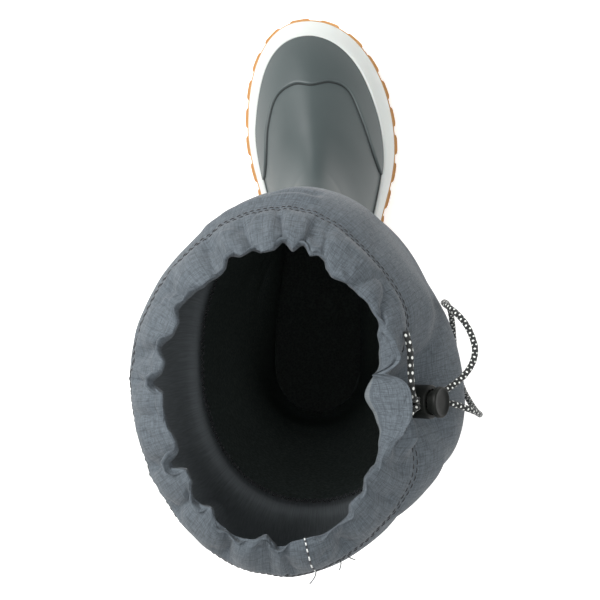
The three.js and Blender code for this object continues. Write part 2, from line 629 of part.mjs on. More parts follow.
boot.add(meshOf("drawcord_run_front", cordTube(frontRun, 10), finishes.cord));
boot.add(meshOf("drawcord_run_rear", cordTube(rearRun, 8), finishes.cord));
const looseLoop = meshOf("drawcord_loop", cordTube(loop, 28), finishes.cord);

// The origin is under the middle of the boot, measured without the loose loop of cord.
const bounds = new THREE.Box3().setFromObject(boot);
const middle = bounds.getCenter(new THREE.Vector3());
boot.add(looseLoop);
boot.position.set(-middle.x, -middle.y, -bounds.min.z);

export default boot;
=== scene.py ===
"""A right rubber boot with a gum outsole, an off-white foxing band and a gathered fabric cuff.

Shapes are worked out in millimetres on the boot's last, with the toe along +Y, the outer side along +X
and up along +Z, and each mesh goes into the part's frame, in metres, as it is made.
"""

import bmesh
import bpy
import numpy as np
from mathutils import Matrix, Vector

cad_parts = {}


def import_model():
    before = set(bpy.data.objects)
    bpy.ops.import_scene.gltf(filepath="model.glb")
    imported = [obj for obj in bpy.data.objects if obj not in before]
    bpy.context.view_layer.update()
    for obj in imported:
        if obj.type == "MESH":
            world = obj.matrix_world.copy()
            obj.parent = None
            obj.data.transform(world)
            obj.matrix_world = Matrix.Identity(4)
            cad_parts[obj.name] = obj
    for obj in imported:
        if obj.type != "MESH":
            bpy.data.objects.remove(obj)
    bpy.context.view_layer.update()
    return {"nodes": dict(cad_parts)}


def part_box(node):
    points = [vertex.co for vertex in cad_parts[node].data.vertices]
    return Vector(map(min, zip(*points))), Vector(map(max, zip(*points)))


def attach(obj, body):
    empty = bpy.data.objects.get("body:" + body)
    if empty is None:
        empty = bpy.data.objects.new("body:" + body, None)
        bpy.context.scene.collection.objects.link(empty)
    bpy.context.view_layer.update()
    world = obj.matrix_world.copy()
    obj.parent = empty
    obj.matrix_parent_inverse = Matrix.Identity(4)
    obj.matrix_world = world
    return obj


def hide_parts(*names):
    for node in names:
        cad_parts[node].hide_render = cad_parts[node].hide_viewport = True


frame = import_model()

# Studio: a pale floor and soft light from all round, seen from above the cuff.
# The last's zero is found from the upper: its box is centred on the shaft, and its rearmost point is
# the back of the collar, one millimetre in front of the last's zero.
SHAFT_BACK = 1.0
upper_low, upper_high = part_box("upper")
LAST_ZERO = np.array([500 * (upper_low[0] + upper_high[0]), 1000 * upper_low[1] - SHAFT_BACK, 0.0])


def to_frame(points):
    """Points of the last moved to the part's frame: shifted by the last's zero, millimetres to metres."""
    return (np.asarray(points, float) + LAST_ZERO) / 1000


def add_node(tree, kind, inputs=None, **settings):
    """A shader node with its settings, its plain inputs set and its other inputs linked."""
    made = tree.nodes.new(kind)
    for key, value in settings.items():
        setattr(made, key, value)
    for key, value in (inputs or {}).items():
        if isinstance(value, bpy.types.NodeSocket):
            tree.links.new(value, made.inputs[key])
        else:
            made.inputs[key].default_value = value
    return made


def new_finish(name, **sockets):
    """A material with one Principled shader, and the numbers that are the same all over set on it."""
    material = bpy.data.materials.new(name)
    material.use_nodes = True
    shader = material.node_tree.nodes["Principled BSDF"]
    for key, value in sockets.items():
        shader.inputs[key.replace("_", " ")].default_value = value
    return material, material.node_tree, shader


CAMERA_AT = (7.28, 120.53, 755.58)
CAMERA_TURN = (-0.04458, 0.02662, -0.00464)
studio = bpy.context.scene
camera = bpy.data.objects.new("camera", bpy.data.cameras.new("camera"))
camera.data.sensor_width = 36
camera.data.lens = 61.49
camera.location = to_frame(CAMERA_AT)
camera.rotation_euler = CAMERA_TURN
studio.collection.objects.link(camera)
studio.camera = camera
studio.view_settings.view_transform = "Standard"

FLOOR_HALF, FLOOR_DROP = 6.0, -0.0002
FLOOR_CORNERS = [(-1, -1), (1, -1), (1, 1), (-1, 1)]
floor = bpy.data.objects.new("floor", bpy.data.meshes.new("floor"))
floor_points = [(x * FLOOR_HALF, y * FLOOR_HALF, FLOOR_DROP) for x, y in FLOOR_CORNERS]
floor.data.from_pydata(floor_points, [], [(0, 1, 2, 3)])
floor_finish, _, _ = new_finish("pale_floor", Base_Color=(0.9, 0.9, 0.89, 1), Roughness=0.9,
                                Emission_Color=(1, 1, 0.99, 1), Emission_Strength=0.5)
floor.data.materials.append(floor_finish)
studio.collection.objects.link(floor)

studio.world = bpy.data.worlds.new("studio")
studio.world.use_nodes = True
tree = studio.world.node_tree
direction = add_node(tree, "ShaderNodeTexCoord").outputs["Generated"]
height = add_node(tree, "ShaderNodeSeparateXYZ", {"Vector": direction}).outputs["Z"]
sky = add_node(tree, "ShaderNodeValToRGB", {"Fac": height})
sky.color_ramp.elements[0].color = (0.34, 0.345, 0.35, 1)
sky.color_ramp.elements[1].position = 0.75
sky.color_ramp.elements[1].color = (0.62, 0.63, 0.64, 1)
tree.links.new(sky.outputs["Color"], tree.nodes["Background"].inputs["Color"])
tree.nodes["Background"].inputs["Strength"].default_value = 0.47

# name, place in millimetres on the last, size in metres, power in watts
SOFTBOXES = [
    ("softbox_key", (-820, 600, 1080), 0.7, 16.0),
    ("softbox_over", (-80, 160, 1500), 1.0, 7.0),
    ("softbox_toe", (-640, 1050, 680), 0.6, 2.0),
    ("softbox_outer", (900, 60, 1100), 0.7, 3.6),
    ("softbox_heel", (-250, -900, 1100), 0.7, 2.6),
]
for name, place, size, power in SOFTBOXES:
    light = bpy.data.objects.new(name, bpy.data.lights.new(name, "AREA"))
    light.data.shape = "DISK"
    light.data.size = size
    light.data.energy = power
    light.location = to_frame(place)
    aim = Vector(to_frame((0, 120, 200)) - to_frame(place))
    light.rotation_euler = aim.to_track_quat("-Z", "Y").to_euler()
    studio.collection.objects.link(light)

# Drawcord: thin elastic cord, black with white flecks, that gathers the hem.
# Two taut runs come out of the hem's tunnel and go through the cord lock, and the rest hangs in one
# free loop from the lock's other side. The points are the route that the solids follow.
CORD_DIAMETER = 2.5
CORD_SPACING = 1.4
LOCK_CENTRE = np.array([44.5, 64.0, 364.4])
LOCK_AXIS = np.array([0.82, 0.05, 0.57])
CORD_AXIS = np.array([0.57, 0.0, -0.82])


def unit(vectors):
    """Vectors scaled to a length of one."""
    return vectors / np.maximum(np.linalg.norm(vectors, axis=-1, keepdims=True), 1e-9)


def along_rows(rows, place, ring=False):
    """A table's rows at fractional places, on a Catmull-Rom curve through them; a ring wraps round."""
    rows = np.asarray(rows, float)
    last = len(rows) - 1
    place = np.asarray(place, float)
    row = np.floor(place).astype(int) if ring else np.clip(np.floor(place).astype(int), 0, last - 1)
    t = (place - row).reshape(place.shape + (1,) * (rows.ndim - 1))
    picks = [(row + k) % (last + 1) if ring else np.clip(row + k, 0, last) for k in (-1, 0, 1, 2)]
    before, start, end, after = (rows[pick] for pick in picks)
    bend = (2 * before - 5 * start + 4 * end - after) * t**2 + (3 * start - before - 3 * end + after) * t**3
    return start + ((end - before) * t + bend) / 2


def new_piece(name, points, finishes, around=True, closed=False, uv=None, crisp=None):
    """A mesh over grids of last points (..., rows, columns, 3), joined round its columns and, if closed,
    its rows. Points that fall together are merged, and the faces are turned outwards. Uv gives the
    pattern's place by column and by row, and edges sharper than the crisp angle stay sharp."""
    grids = np.asarray(points, float).reshape((-1,) + np.shape(points)[-3:])
    count, rows, columns, _ = grids.shape
    row_steps, column_steps = np.arange(rows - (not closed)), np.arange(columns - (not around))
    row, column = np.meshgrid(row_steps, column_steps, indexing="ij")
    corner_row = np.stack([row, row, row + 1, row + 1], -1).reshape(-1, 4)
    corner_column = np.stack([column, column + 1, column + 1, column], -1).reshape(-1, 4)
    index = corner_row % rows * columns + corner_column % columns
    faces = (index + rows * columns * np.arange(count)[:, None, None]).reshape(-1, 4)
    mesh = bpy.data.meshes.new(name)
    mesh.from_pydata(to_frame(grids.reshape(-1, 3)).tolist(), [], faces.tolist())
    if uv is not None:
        corners = np.stack([np.asarray(uv[0])[corner_column], np.asarray(uv[1])[corner_row]], -1)
        mesh.uv_layers.new(name="UVMap").data.foreach_set("uv", np.tile(corners.reshape(-1), count))
    edit = bmesh.new()
    edit.from_mesh(mesh)
    bmesh.ops.remove_doubles(edit, verts=edit.verts, dist=1e-6)
    bmesh.ops.recalc_face_normals(edit, faces=edit.faces)
    edit.to_mesh(mesh)
    edit.free()
    mesh.shade_smooth()
    if crisp is not None:
        mesh.set_sharp_from_angle(angle=np.radians(crisp))
    for finish in finishes:
        mesh.materials.append(finish)
    piece = bpy.data.objects.new(name, mesh)
    studio.collection.objects.link(piece)
    return piece


def tube(path, radius, sides, lean):
    """A round tube along a path (..., points, 3): a circle across the path at each point, closed at both
    ends. Lean is a direction that the path never takes, which the circles start from."""
    path = np.asarray(path, float)
    tangent = unit(np.gradient(path, axis=-2))
    across = unit(np.cross(tangent, lean))
    rise = np.cross(across, tangent)
    turn = 2 * np.pi * np.arange(sides) / sides
    circle = np.cos(turn)[:, None] * across[..., None, :] + np.sin(turn)[:, None] * rise[..., None, :]
    body = path[..., None, :] + radius * circle
    ends = np.repeat(path[..., [0, -1], None, :], sides, axis=-2)
    return np.concatenate([ends[..., :1, :, :], body, ends[..., 1:, :, :]], axis=-3)


slot_side = unit(np.cross(LOCK_AXIS, CORD_AXIS))
lock_turn = np.stack([np.cross(slot_side, unit(LOCK_AXIS)), slot_side, unit(LOCK_AXIS)])


def at_lock(points):
    """Points given along the lock's cords, across them and along its axis, moved to the last."""
    return LOCK_CENTRE + np.asarray(points, float) @ lock_turn


FRONT_CORD = np.sign(slot_side[1]) * CORD_SPACING
front_slot = at_lock([(along, FRONT_CORD, 0) for along in (-6.4, -0.15, 0.15, 7)])
rear_slot = at_lock([(along, -FRONT_CORD, 0) for along in (-6.6, -0.15, 0.15, 7)])
FRONT_RUN = [
    (36.4, 91.6, 372.6), (38, 84.8, 373), (38.2, 78, 373.3), (38.6, 71.4, 373.4), (39.2, 67.2, 372.3),
    *front_slot[:2],
]
REAR_RUN = [(33.4, 52.6, 372.2), (36.6, 58.8, 373.4), (38.5, 61.2, 372.6), *rear_slot[:2]]
LOOP = [
    *front_slot[2:], (52.4, 66.8, 355.9), (57, 69.8, 355.3), (61, 73.4, 354.9), (64, 78, 354.2),
    (65.1, 83, 353), (64, 88.2, 351.5), (61.8, 92.8, 349.8), (58.6, 96.8, 347), (55.6, 99.4, 342),
    (55, 100.4, 334), (57.2, 99.8, 323.6), (60.2, 96, 313), (62.2, 88.6, 305), (63.4, 78.8, 301.2),
    (64.4, 69, 303), (66.2, 61.6, 309.8), (67.8, 57.4, 319.6), (68.8, 55.2, 330), (69, 55.2, 339.4),
    (67, 57, 347), (62.6, 59.4, 352.6), (57, 61.6, 355), (52.4, 62.4, 356), rear_slot[3], rear_slot[2],
]


def work_out(tree, operation, *values):
    """The result of one Math node."""
    return add_node(tree, "ShaderNodeMath", dict(enumerate(values)), operation=operation).outputs[0]


def remap(tree, value, low, high, start=0.0, end=1.0):
    """A value moved from one range to another, and kept within it."""
    sockets = {"Value": value, "From Min": low, "From Max": high, "To Min": start, "To Max": end}
    return add_node(tree, "ShaderNodeMapRange", sockets).outputs["Result"]


def mix_colours(tree, share, first, second):
    """A colour between two colours, by a share that may come from a pattern."""
    sockets = {0: share}
    for socket, colour in ((6, first), (7, second)):
        sockets[socket] = (*colour, 1) if isinstance(colour, tuple) else colour
    return add_node(tree, "ShaderNodeMix", sockets, data_type="RGBA").outputs[2]


def paint(tree, shader, share, first, second):
    """Base colour between two colours, by a pattern's share."""
    tree.links.new(mix_colours(tree, share, first, second), shader.inputs["Base Color"])


def add_relief(tree, shader, relief, strength, depth):
    """Bump from a pattern: how strong it is, and how deep in metres."""
    bump = add_node(tree, "ShaderNodeBump", {"Height": relief, "Strength": strength, "Distance": depth})
    tree.links.new(bump.outputs["Normal"], shader.inputs["Normal"])


cord_finish, tree, shader = new_finish("flecked_cord", Roughness=0.75, Sheen_Weight=0.2)
weave = add_node(tree, "ShaderNodeSeparateXYZ", {"Vector": add_node(tree, "ShaderNodeUVMap").outputs["UV"]})
strand = work_out(tree, "FLOOR", weave.outputs["Y"])
stagger = work_out(tree, "MULTIPLY_ADD", strand, 0.5, weave.outputs["X"])
fleck_cells = [(stagger, 0.27), (weave.outputs["Y"], 0.22)]
squares = []
for place, half in fleck_cells:
    offset = work_out(tree, "SUBTRACT", work_out(tree, "FRACT", place), 0.5)
    squares.append(work_out(tree, "POWER", work_out(tree, "DIVIDE", offset, half), 2.0))
ring = work_out(tree, "ADD", *squares)
paint(tree, shader, remap(tree, ring, 1.15, 0.75), (0.012, 0.014, 0.014), (0.82, 0.84, 0.8))
add_relief(tree, shader, ring, 0.35, 0.0003)

# name, route, points along it, fleck pitch in millimetres
CORDS = [
    ("drawcord_run_front", FRONT_RUN, 60, 2.85),
    ("drawcord_run_rear", REAR_RUN, 60, 2.85),
    ("drawcord_loop", LOOP, 300, 1.65),
]
FLECK_STRANDS = 4
CORD_SIDES = 16
CORD_LEAN = (0.5, -0.25, 0.83)
for name, route, count, pitch in CORDS:
    path = along_rows(route, np.linspace(0, len(route) - 1, count))
    step = np.linalg.norm(np.diff(path, axis=0), axis=1)
    gone = np.concatenate([[0, 0], np.cumsum(step), [step.sum()]])
    strand = np.linspace(0, FLECK_STRANDS, CORD_SIDES + 1)
    skin = tube(path, CORD_DIAMETER / 2, CORD_SIDES, CORD_LEAN)
    cord = new_piece(name + "_braid", skin, [cord_finish], uv=(strand, gone / pitch))
    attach(cord, "boot")
    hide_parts(name)

# Outsole: one moulding of gum rubber, with a strip that stands out under the foxing, a plate below it,
# and lugs round the edge and in chevrons under the middle. Inside the boot it is covered with fibre board.
TOE_TIP = 283.0
TOE_AXIS = -5.0
HEEL_THICKNESS, BALL_THICKNESS, TOE_THICKNESS = 22.0, 11.5, 20.0
LUG_DEPTH, ARCH_RISE = 4.5, 5
HEEL_END, BREAST, ARCH_FROM, ARCH_TO, TREAD_FROM, BALL, SPRING = 66, 72, 88, 112, 138, 205, 228
OUTER = dict(sign=1, heel=33.5, waist=39, ball=53.03, heel_at=45, waist_at=118, ball_at=195,
             toe=2.0, fullness=0.9)
INNER = dict(sign=-1, heel=32.5, waist=30, ball=46.47, heel_at=45, waist_at=125, ball_at=211,
             toe=2.35, fullness=1.03)
BACK_Z = np.array([-20, 20, 45, 72, 104, 142, 184, 226, 270, 320.0])
BACK_Y = np.array([7, 6, 3.5, 5, 7.5, 6, 3.5, 2, SHAFT_BACK, SHAFT_BACK])


def smoothstep(value, low, high):
    """Rises from 0 at low to 1 at high, flat at both ends."""
    t = np.clip((value - low) / (high - low), 0, 1)
    return t * t * (3 - 2 * t)


def rounding(inset, exponent):
    """Quarter of a superellipse: 0 at its end, 1 at full width."""
    return (1 - (1 - np.clip(inset, 0, 1)) ** exponent) ** (1 / exponent)


def back_line(z):
    """The back of the boot in the side view, through the table's points."""
    return along_rows(BACK_Y, np.interp(z, BACK_Z, np.arange(len(BACK_Z))))


def side_reach(side, y):
    """Half width of the footprint: eased from heel to waist and to ball, then a superellipse to the toe."""
    heel = side["heel"] + (side["waist"] - side["heel"]) * smoothstep(y, side["heel_at"], side["waist_at"])
    ball = side["waist"] + (side["ball"] - side["waist"]) * smoothstep(y, side["waist_at"], side["ball_at"])
    tip = side["sign"] * TOE_AXIS
    toe = tip + (side["ball"] - tip) * rounding((TOE_TIP - y) / (TOE_TIP - side["ball_at"]), side["toe"])
    return np.where(y > side["ball_at"], toe, np.where(y > side["waist_at"], ball, heel))


def ridge(y):
    """The middle of the foot in plan, which leans to the toe's axis."""
    return TOE_AXIS * smoothstep(y, 130, TOE_TIP)


def heel_rounding(y, z):
    """The back is round in plan: tight at the heel's height, half the shaft's depth above the ankle."""
    return rounding((y - back_line(z)) / (40 + 31 * smoothstep(z, 40, 170)), 2.2)


def sole_top(y):
    """Top of the outsole: heel, shank and ball, then a parabola up to the toe."""
    spring = (np.maximum(y - BALL, 0) / (TOE_TIP - BALL)) ** 2
    toe = BALL_THICKNESS + (TOE_THICKNESS - BALL_THICKNESS) * spring
    heel = HEEL_THICKNESS + (BALL_THICKNESS - HEEL_THICKNESS) * smoothstep(y, HEEL_END, BALL)
    return np.where(y > BALL, toe, heel)


def tread_bottom(y):
    """Ground line of the tread: flat, then a parabola up at the toe."""
    return 8 * (np.maximum(0, y - SPRING) / (TOE_TIP - SPRING)) ** 2


def plate_bottom(y):
    """Underside between the lugs, arched under the shank."""
    arch = smoothstep(y, BREAST, ARCH_FROM) * (1 - smoothstep(y, ARCH_TO, TREAD_FROM))
    return tread_bottom(y) + LUG_DEPTH + ARCH_RISE * arch


def eased_shares(count):
    """Shares from 0 to 1, closer together at both ends: half of one less a cosine."""
    return (1 - np.cos(np.linspace(0, np.pi, count))) / 2


def distance_along(line):
    """How far along a line of points each of them lies."""
    return np.concatenate([[0], np.cumsum(np.linalg.norm(np.diff(line, axis=0), axis=1))])


def footprint(offset, steps=140):
    """Plan outline of the upper at the feather line, moved outwards, from the heel round the outer side:
    cosine spacing along the boot, each half width times the heel's rounding."""
    heel = back_line(HEEL_THICKNESS)
    y = heel + (TOE_TIP - heel) * eased_shares(steps + 1)
    halves = []
    for side in (OUTER, INNER):
        reach = side_reach(side, y) - side["sign"] * ridge(y)
        halves.append(np.stack([ridge(y) + side["sign"] * reach * heel_rounding(y, HEEL_THICKNESS), y], -1))
    outline = np.concatenate([halves[0][:-1], halves[1][:0:-1]])
    along = unit(np.roll(outline, -1, axis=0) - np.roll(outline, 1, axis=0))
    return outline + offset * np.stack([along[:, 1], -along[:, 0]], -1)


# distance out from the feather line and height from the sole's top, round the strip's section
STRIP_SECTION = [(-9, 0), (0, 0), (2.4, 0), (3.2, -0.25), (3.65, -0.9), (3.7, -1.8), (3.7, -4.6),
                 (3.4, -5.6), (2.6, -6), (-9, -6)]
strip_rings = []
for offset, rise in STRIP_SECTION:
    outline = footprint(offset)
    strip_rings.append(np.column_stack([outline, sole_top(outline[:, 1]) + rise]))

PLATE_OFFSET = 2.5
plate_edge = footprint(PLATE_OFFSET)
half_way = len(plate_edge) // 2
outer_edge, inner_edge = plate_edge[: half_way + 1], plate_edge[-np.arange(half_way + 1)]
across = np.linspace(0, 1, 9)[:, None]
plate_plan = outer_edge[:, None] + (inner_edge - outer_edge)[:, None] * across
plate_plan = np.concatenate([plate_plan, plate_plan[:, ::-1]], axis=1)
plate_y = plate_plan[..., 1]
under = np.arange(plate_plan.shape[1]) < len(across)
plate_z = np.where(under, plate_bottom(plate_y), sole_top(plate_y) - 3)
plate_skin = np.concatenate([plate_plan, plate_z[..., None]], -1)

EDGE_PITCH, EDGE_LENGTH, EDGE_WIDTH, EDGE_REACH = 19.4, 14.8, 12.0, 4.9
edge_line = footprint(EDGE_REACH - EDGE_WIDTH / 2)
edge_line = np.concatenate([edge_line, edge_line[:1]])
edge_gone = distance_along(edge_line)
edge_count = round(edge_gone[-1] / EDGE_PITCH)
edge_at = edge_gone[-1] * np.arange(edge_count) / edge_count
edge_x, edge_y = (np.interp(edge_at, edge_gone, edge_line[:, k]) for k in (0, 1))
ahead_x, ahead_y = (np.interp((edge_at + 1) % edge_gone[-1], edge_gone, edge_line[:, k]) for k in (0, 1))
edge_turn = np.arctan2(ahead_y - edge_y, ahead_x - edge_x)
under_tread = (edge_y < BREAST + 4) | (edge_y > TREAD_FROM - 8)
edge_lengths, edge_widths = np.full(edge_count, EDGE_LENGTH), np.full(edge_count, EDGE_WIDTH)
edge_lugs = np.stack([edge_x, edge_y, edge_lengths, edge_widths, edge_turn, sole_top(edge_y) - 2.6], -1)
lugs = [edge_lugs[under_tread]]

# from, to, rows, bar length, bar width and slant in degrees of the chevrons under heel and forefoot
CHEVRONS = [(20, 62, 3, 15.0, 8.0, 12), (142, 250, 7, 24.0, 8.5, 16)]
for start, end, rows, bar, width, slant in CHEVRONS:
    y = np.linspace(start, end, rows)
    middle = (side_reach(OUTER, y) - side_reach(INNER, y)) / 2
    bars = np.minimum(bar, (side_reach(OUTER, y) + side_reach(INNER, y)) / 2 - EDGE_WIDTH - 4)
    for sign in (1, -1):
        turn = np.full(rows, -sign * np.radians(slant))
        x = middle + sign * bars / 2
        lugs.append(np.stack([x, y, bars + 1, np.full(rows, width), turn, plate_bottom(y) + 1.5], -1))
lugs = np.concatenate(lugs)

# share of the height, inset from the full outline and share of the plan, from the ground up
LUG_LOOPS = np.array([(0, 0.9, 0), (0, 0.9, 1), (0.08, 0.25, 1), (0.2, 0, 1), (1, -0.3, 1), (1, -0.3, 0)])
lug_round = 2 * np.pi * np.arange(24) / 24
lug_cos, lug_sin = (np.sign(wave) * np.abs(wave) ** 0.4 for wave in (np.cos(lug_round), np.sin(lug_round)))
rise, inset, size = (LUG_LOOPS[:, k][None, :, None] for k in range(3))
x, y, length, width, turn, top = (lugs[:, k][:, None, None] for k in range(6))
lug_u = size * (length / 2 - inset) * lug_cos
lug_v = size * (width / 2 - inset) * lug_sin
ground = tread_bottom(y)
lug_skin = np.stack(np.broadcast_arrays(
    x + lug_u * np.cos(turn) - lug_v * np.sin(turn),
    y + lug_u * np.sin(turn) + lug_v * np.cos(turn),
    ground + rise * (top - ground),
), -1)


def noise(tree, scale, detail=2.0):
    """Noise over the part's own metres, with so many spots to the metre."""
    place = add_node(tree, "ShaderNodeTexCoord").outputs["Object"]
    sockets = {"Vector": place, "Scale": scale, "Detail": detail}
    return add_node(tree, "ShaderNodeTexNoise", sockets).outputs["Fac"]


def wear(tree, shader, share, low, high):
    """Roughness between two values, by a pattern's share."""
    tree.links.new(remap(tree, share, 0.0, 1.0, low, high), shader.inputs["Roughness"])


gum_finish, tree, shader = new_finish("gum_rubber", Subsurface_Weight=0.06, Subsurface_Scale=0.002)
cloud = noise(tree, 60.0, 5.0)
gum = mix_colours(tree, cloud, (0.43, 0.2, 0.05), (0.62, 0.32, 0.1))
place = add_node(tree, "ShaderNodeTexCoord").outputs["Object"]
height = add_node(tree, "ShaderNodeSeparateXYZ", {"Vector": place}).outputs["Z"]
paint(tree, shader, remap(tree, height, 0.004, 0.0, 0.0, 0.3), gum, (0.30, 0.2, 0.11))
wear(tree, shader, cloud, 0.42, 0.62)
add_relief(tree, shader, noise(tree, 1400.0, 3.0), 0.12, 0.0003)

board_finish, tree, shader = new_finish("fibre_board", Roughness=0.95, Specular_IOR_Level=0.1)
paint(tree, shader, noise(tree, 500.0, 3.0), (0.07, 0.085, 0.08), (0.13, 0.155, 0.15))

sole_finishes = [gum_finish, board_finish]
sole_parts = [new_piece("outsole_gum", strip_rings, sole_finishes, closed=True),
              new_piece("sole_plate", plate_skin, sole_finishes, crisp=40),
              new_piece("sole_lugs", lug_skin, sole_finishes, crisp=50)]
strip_sides, plate_sides = (part.data.polygons for part in sole_parts[:2])
inside_strip = np.arange(len(strip_sides)) < len(strip_rings[0])
strip_sides.foreach_set("material_index", inside_strip.astype(np.int32))
facing = np.zeros((len(plate_sides), 3))
plate_sides.foreach_get("normal", facing.reshape(-1))
plate_sides.foreach_set("material_index", (facing[:, 2] > 0.9).astype(np.int32))


def join_pieces(parts):
    """Several meshes made one piece, which keeps the first one's name."""
    edit = bmesh.new()
    for part in parts:
        edit.from_mesh(part.data)
    edit.to_mesh(parts[0].data)
    edit.free()
    for part in parts[1:]:
        bpy.data.objects.remove(part)
    return parts[0]


outsole = join_pieces(sole_parts)
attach(outsole, "boot")
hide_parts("outsole")

# Insole: a die-cut foot bed of foam with a knit top, laid loose in the foot.
# Its plain solid has the right shape and keeps it, under a knit finish.
def knit_cells(tree, scale):
    """Small round cells over the part's own metres, with so many to the metre: distance to the nearest."""
    place = add_node(tree, "ShaderNodeTexCoord").outputs["Object"]
    return add_node(tree, "ShaderNodeTexVoronoi", {"Vector": place, "Scale": scale}).outputs["Distance"]


insole_finish, tree, shader = new_finish("knit_foot_bed", Roughness=0.95)
knit = knit_cells(tree, 700.0)
paint(tree, shader, knit, (0.022, 0.027, 0.0255), (0.055, 0.066, 0.0625))
add_relief(tree, shader, knit, 0.4, 0.0004)
insole_mesh = frame["nodes"]["insole"].data
insole_mesh.materials.clear()
insole_mesh.materials.append(insole_finish)

# Upper: foot and shaft of one vulcanised rubber shell over a dark knit lining.
# It is laid up on the last, so its skin runs through the last's sections, with soft flex marks at the
# ankle and on the vamp, and it is open at the collar.
GAP = 0.3
WALL = 2.2
COLLAR_HEIGHT = 290.0
UNDERCUT = 10.0
# top y, top z, back z or foot y, is a back height, leg share, half width of the leg, crown
SECTIONS = np.array([
    (143, 304, 304, 1, 1, 56, 2.2), (143, 298, 298, 1, 1, 56, 2.2), (143, 274, 274, 1, 1, 56, 2.2),
    (140.5, 228, 226, 1, 1, 55, 2.2), (138, 186, 184, 1, 1, 51.5, 2.15), (139, 151, 142, 1, 1, 46.5, 2.1),
    (145.5, 124, 104, 1, 0.8, 43.5, 2.05), (155, 107, 72, 1, 0.55, 42, 2), (167, 94, 45, 1, 0.3, 41, 1.95),
    (178, 86, 20, 1, 0.12, 40, 1.9), (189, 79.5, 30, 0, 0, 40, 1.85), (201, 73.5, 85, 0, 0, 40, 1.8),
    (213, 68.5, 135, 0, 0, 40, 1.8), (225.5, 63, 180, 0, 0, 40, 1.8), (238.5, 57, 213, 0, 0, 40, 1.8),
    (251, 50.5, 238, 0, 0, 40, 1.85), (262, 43.5, 256, 0, 0, 40, 1.9), (271, 36.5, 269, 0, 0, 40, 1.95),
    (278, 29, 278, 0, 0, 40, 2), (TOE_TIP, 21, TOE_TIP, 0, 0, 40, 2),
])
TOP_Y, TOP_Z, FOOT, AT_BACK, LEG, HALF, CROWN = SECTIONS.T
FOOT_Y = np.where(AT_BACK == 1, back_line(FOOT), FOOT)
FOOT_Z = np.where(AT_BACK == 1, FOOT, sole_top(FOOT) - UNDERCUT)
TOE_ROW = len(SECTIONS) - 1.0


def section_ends(place):
    """Foot point and top point of a section of the last in the side view."""
    return [along_rows(column, place) for column in (FOOT_Y, FOOT_Z, TOP_Y, TOP_Z)]


def section_x(side, place, share):
    """Where a section's skin lies across the boot, at a share of the way from its foot to its top: the
    footprint's half width blended into the leg's, rounded over the crown and round the heel."""
    foot_y, foot_z, top_y, top_z = section_ends(place)
    leg, half, crown = (along_rows(column, place) for column in (LEG, HALF, CROWN))
    y, z = foot_y + (top_y - foot_y) * share, foot_z + (top_z - foot_z) * share
    feather = np.clip((sole_top(foot_y) - foot_z) / (top_z - foot_z), 0, 0.9)
    widest = feather + (0.5 - feather) * leg
    front = rounding((1 - share) / (1 - widest), crown * (side["fullness"] + (1 - side["fullness"]) * leg))
    reach = side_reach(side, y) - side["sign"] * ridge(y)
    reach = reach + (half - reach) * leg
    return ridge(y) + side["sign"] * reach * front * heel_rounding(y, z)


def halve(low, high, is_low, rounds=34):
    """Root by halving, for whole arrays: is_low says where the middle is still below the root."""
    for _ in range(rounds):
        middle = (low + high) / 2
        below = is_low(middle)
        low, high = np.where(below, middle, low), np.where(below, high, middle)
    return (low + high) / 2


def section_skin(place, columns):
    """The last's skin at some sections (rows of places), from the sole's top on the outer side over the
    front line to the sole's top on the inner side, with cosine spacing."""
    place = place[:, None]
    foot_y, foot_z, top_y, top_z = section_ends(place)
    def under_sole(share):
        return foot_z + (top_z - foot_z) * share < sole_top(foot_y + (top_y - foot_y) * share) + GAP
    first = halve(np.zeros_like(place), np.ones_like(place), under_sole)
    first = np.where(first < 1e-6, 0, first)
    share = first + (1 - first) * eased_shares(columns)[None]
    y, z = foot_y + (top_y - foot_y) * share, foot_z + (top_z - foot_z) * share
    halves = []
    for side in (OUTER, INNER):
        x = np.where(share > 0, section_x(side, place, share), ridge(y))
        halves.append(np.stack([x, y, z], -1))
    return np.concatenate([halves[0], halves[1][:, -2::-1]], axis=1)


def grid_normals(grid, ring=False):
    """Unit normals of a grid of points: the cross product of its two central differences."""
    down = np.gradient(grid, axis=0)
    along = (np.roll(grid, -1, axis=1) - np.roll(grid, 1, axis=1)) if ring else np.gradient(grid, axis=1)
    return unit(np.cross(along, down))


def groove(points, start, end, width):
    """A soft mark along a line between two points: a bell across the line, fading past its ends."""
    start, end = np.asarray(start, float), np.asarray(end, float)
    line = end - start
    share = np.clip(((points - start) @ line) / (line @ line), 0, 1)
    away = np.linalg.norm(points - start - share[..., None] * line, axis=-1)
    return np.exp(-(away / width) ** 2) * (0.25 + 0.75 * np.sin(np.pi * np.clip(share, 0.04, 0.96)))


# start, end, depth (less than zero is a ridge) and width of the flex marks
FLEX_MARKS = [
    ((-40, 118, 128), (38, 120, 124), 2.2, 9),
    ((-44, 105, 146), (42, 108, 150), 1.5, 8),
    ((-36, 128, 138), (34, 130, 138), -1.3, 7),
    ((-44, 84, 118), (-30, 122, 106), 1.2, 8),
    ((44, 82, 112), (32, 124, 102), 1.2, 8),
    ((5, 158, 104), (9, 214, 72), 1.3, 9),
    ((-18, 160, 98), (-18, 222, 64), -0.8, 9),
    ((-46, 60, 196), (-36, 112, 188), 0.9, 12),
    ((50, 52, 212), (40, 108, 196), 0.9, 12),
    ((0, 8, 120), (20, 14, 100), 0.9, 9),
    ((-22, 14, 106), (4, 8, 126), 0.8, 9),
]
upper_place = np.concatenate([np.linspace(1.36, 17, 150), 17 + 2 * np.sin(np.linspace(0, np.pi / 2, 34)[1:])])
upper_place[0] = halve(np.array(1.0), np.array(2.0), lambda place: along_rows(TOP_Z, place) > COLLAR_HEIGHT)
upper_skin = section_skin(upper_place, 56)
upper_out = grid_normals(upper_skin)
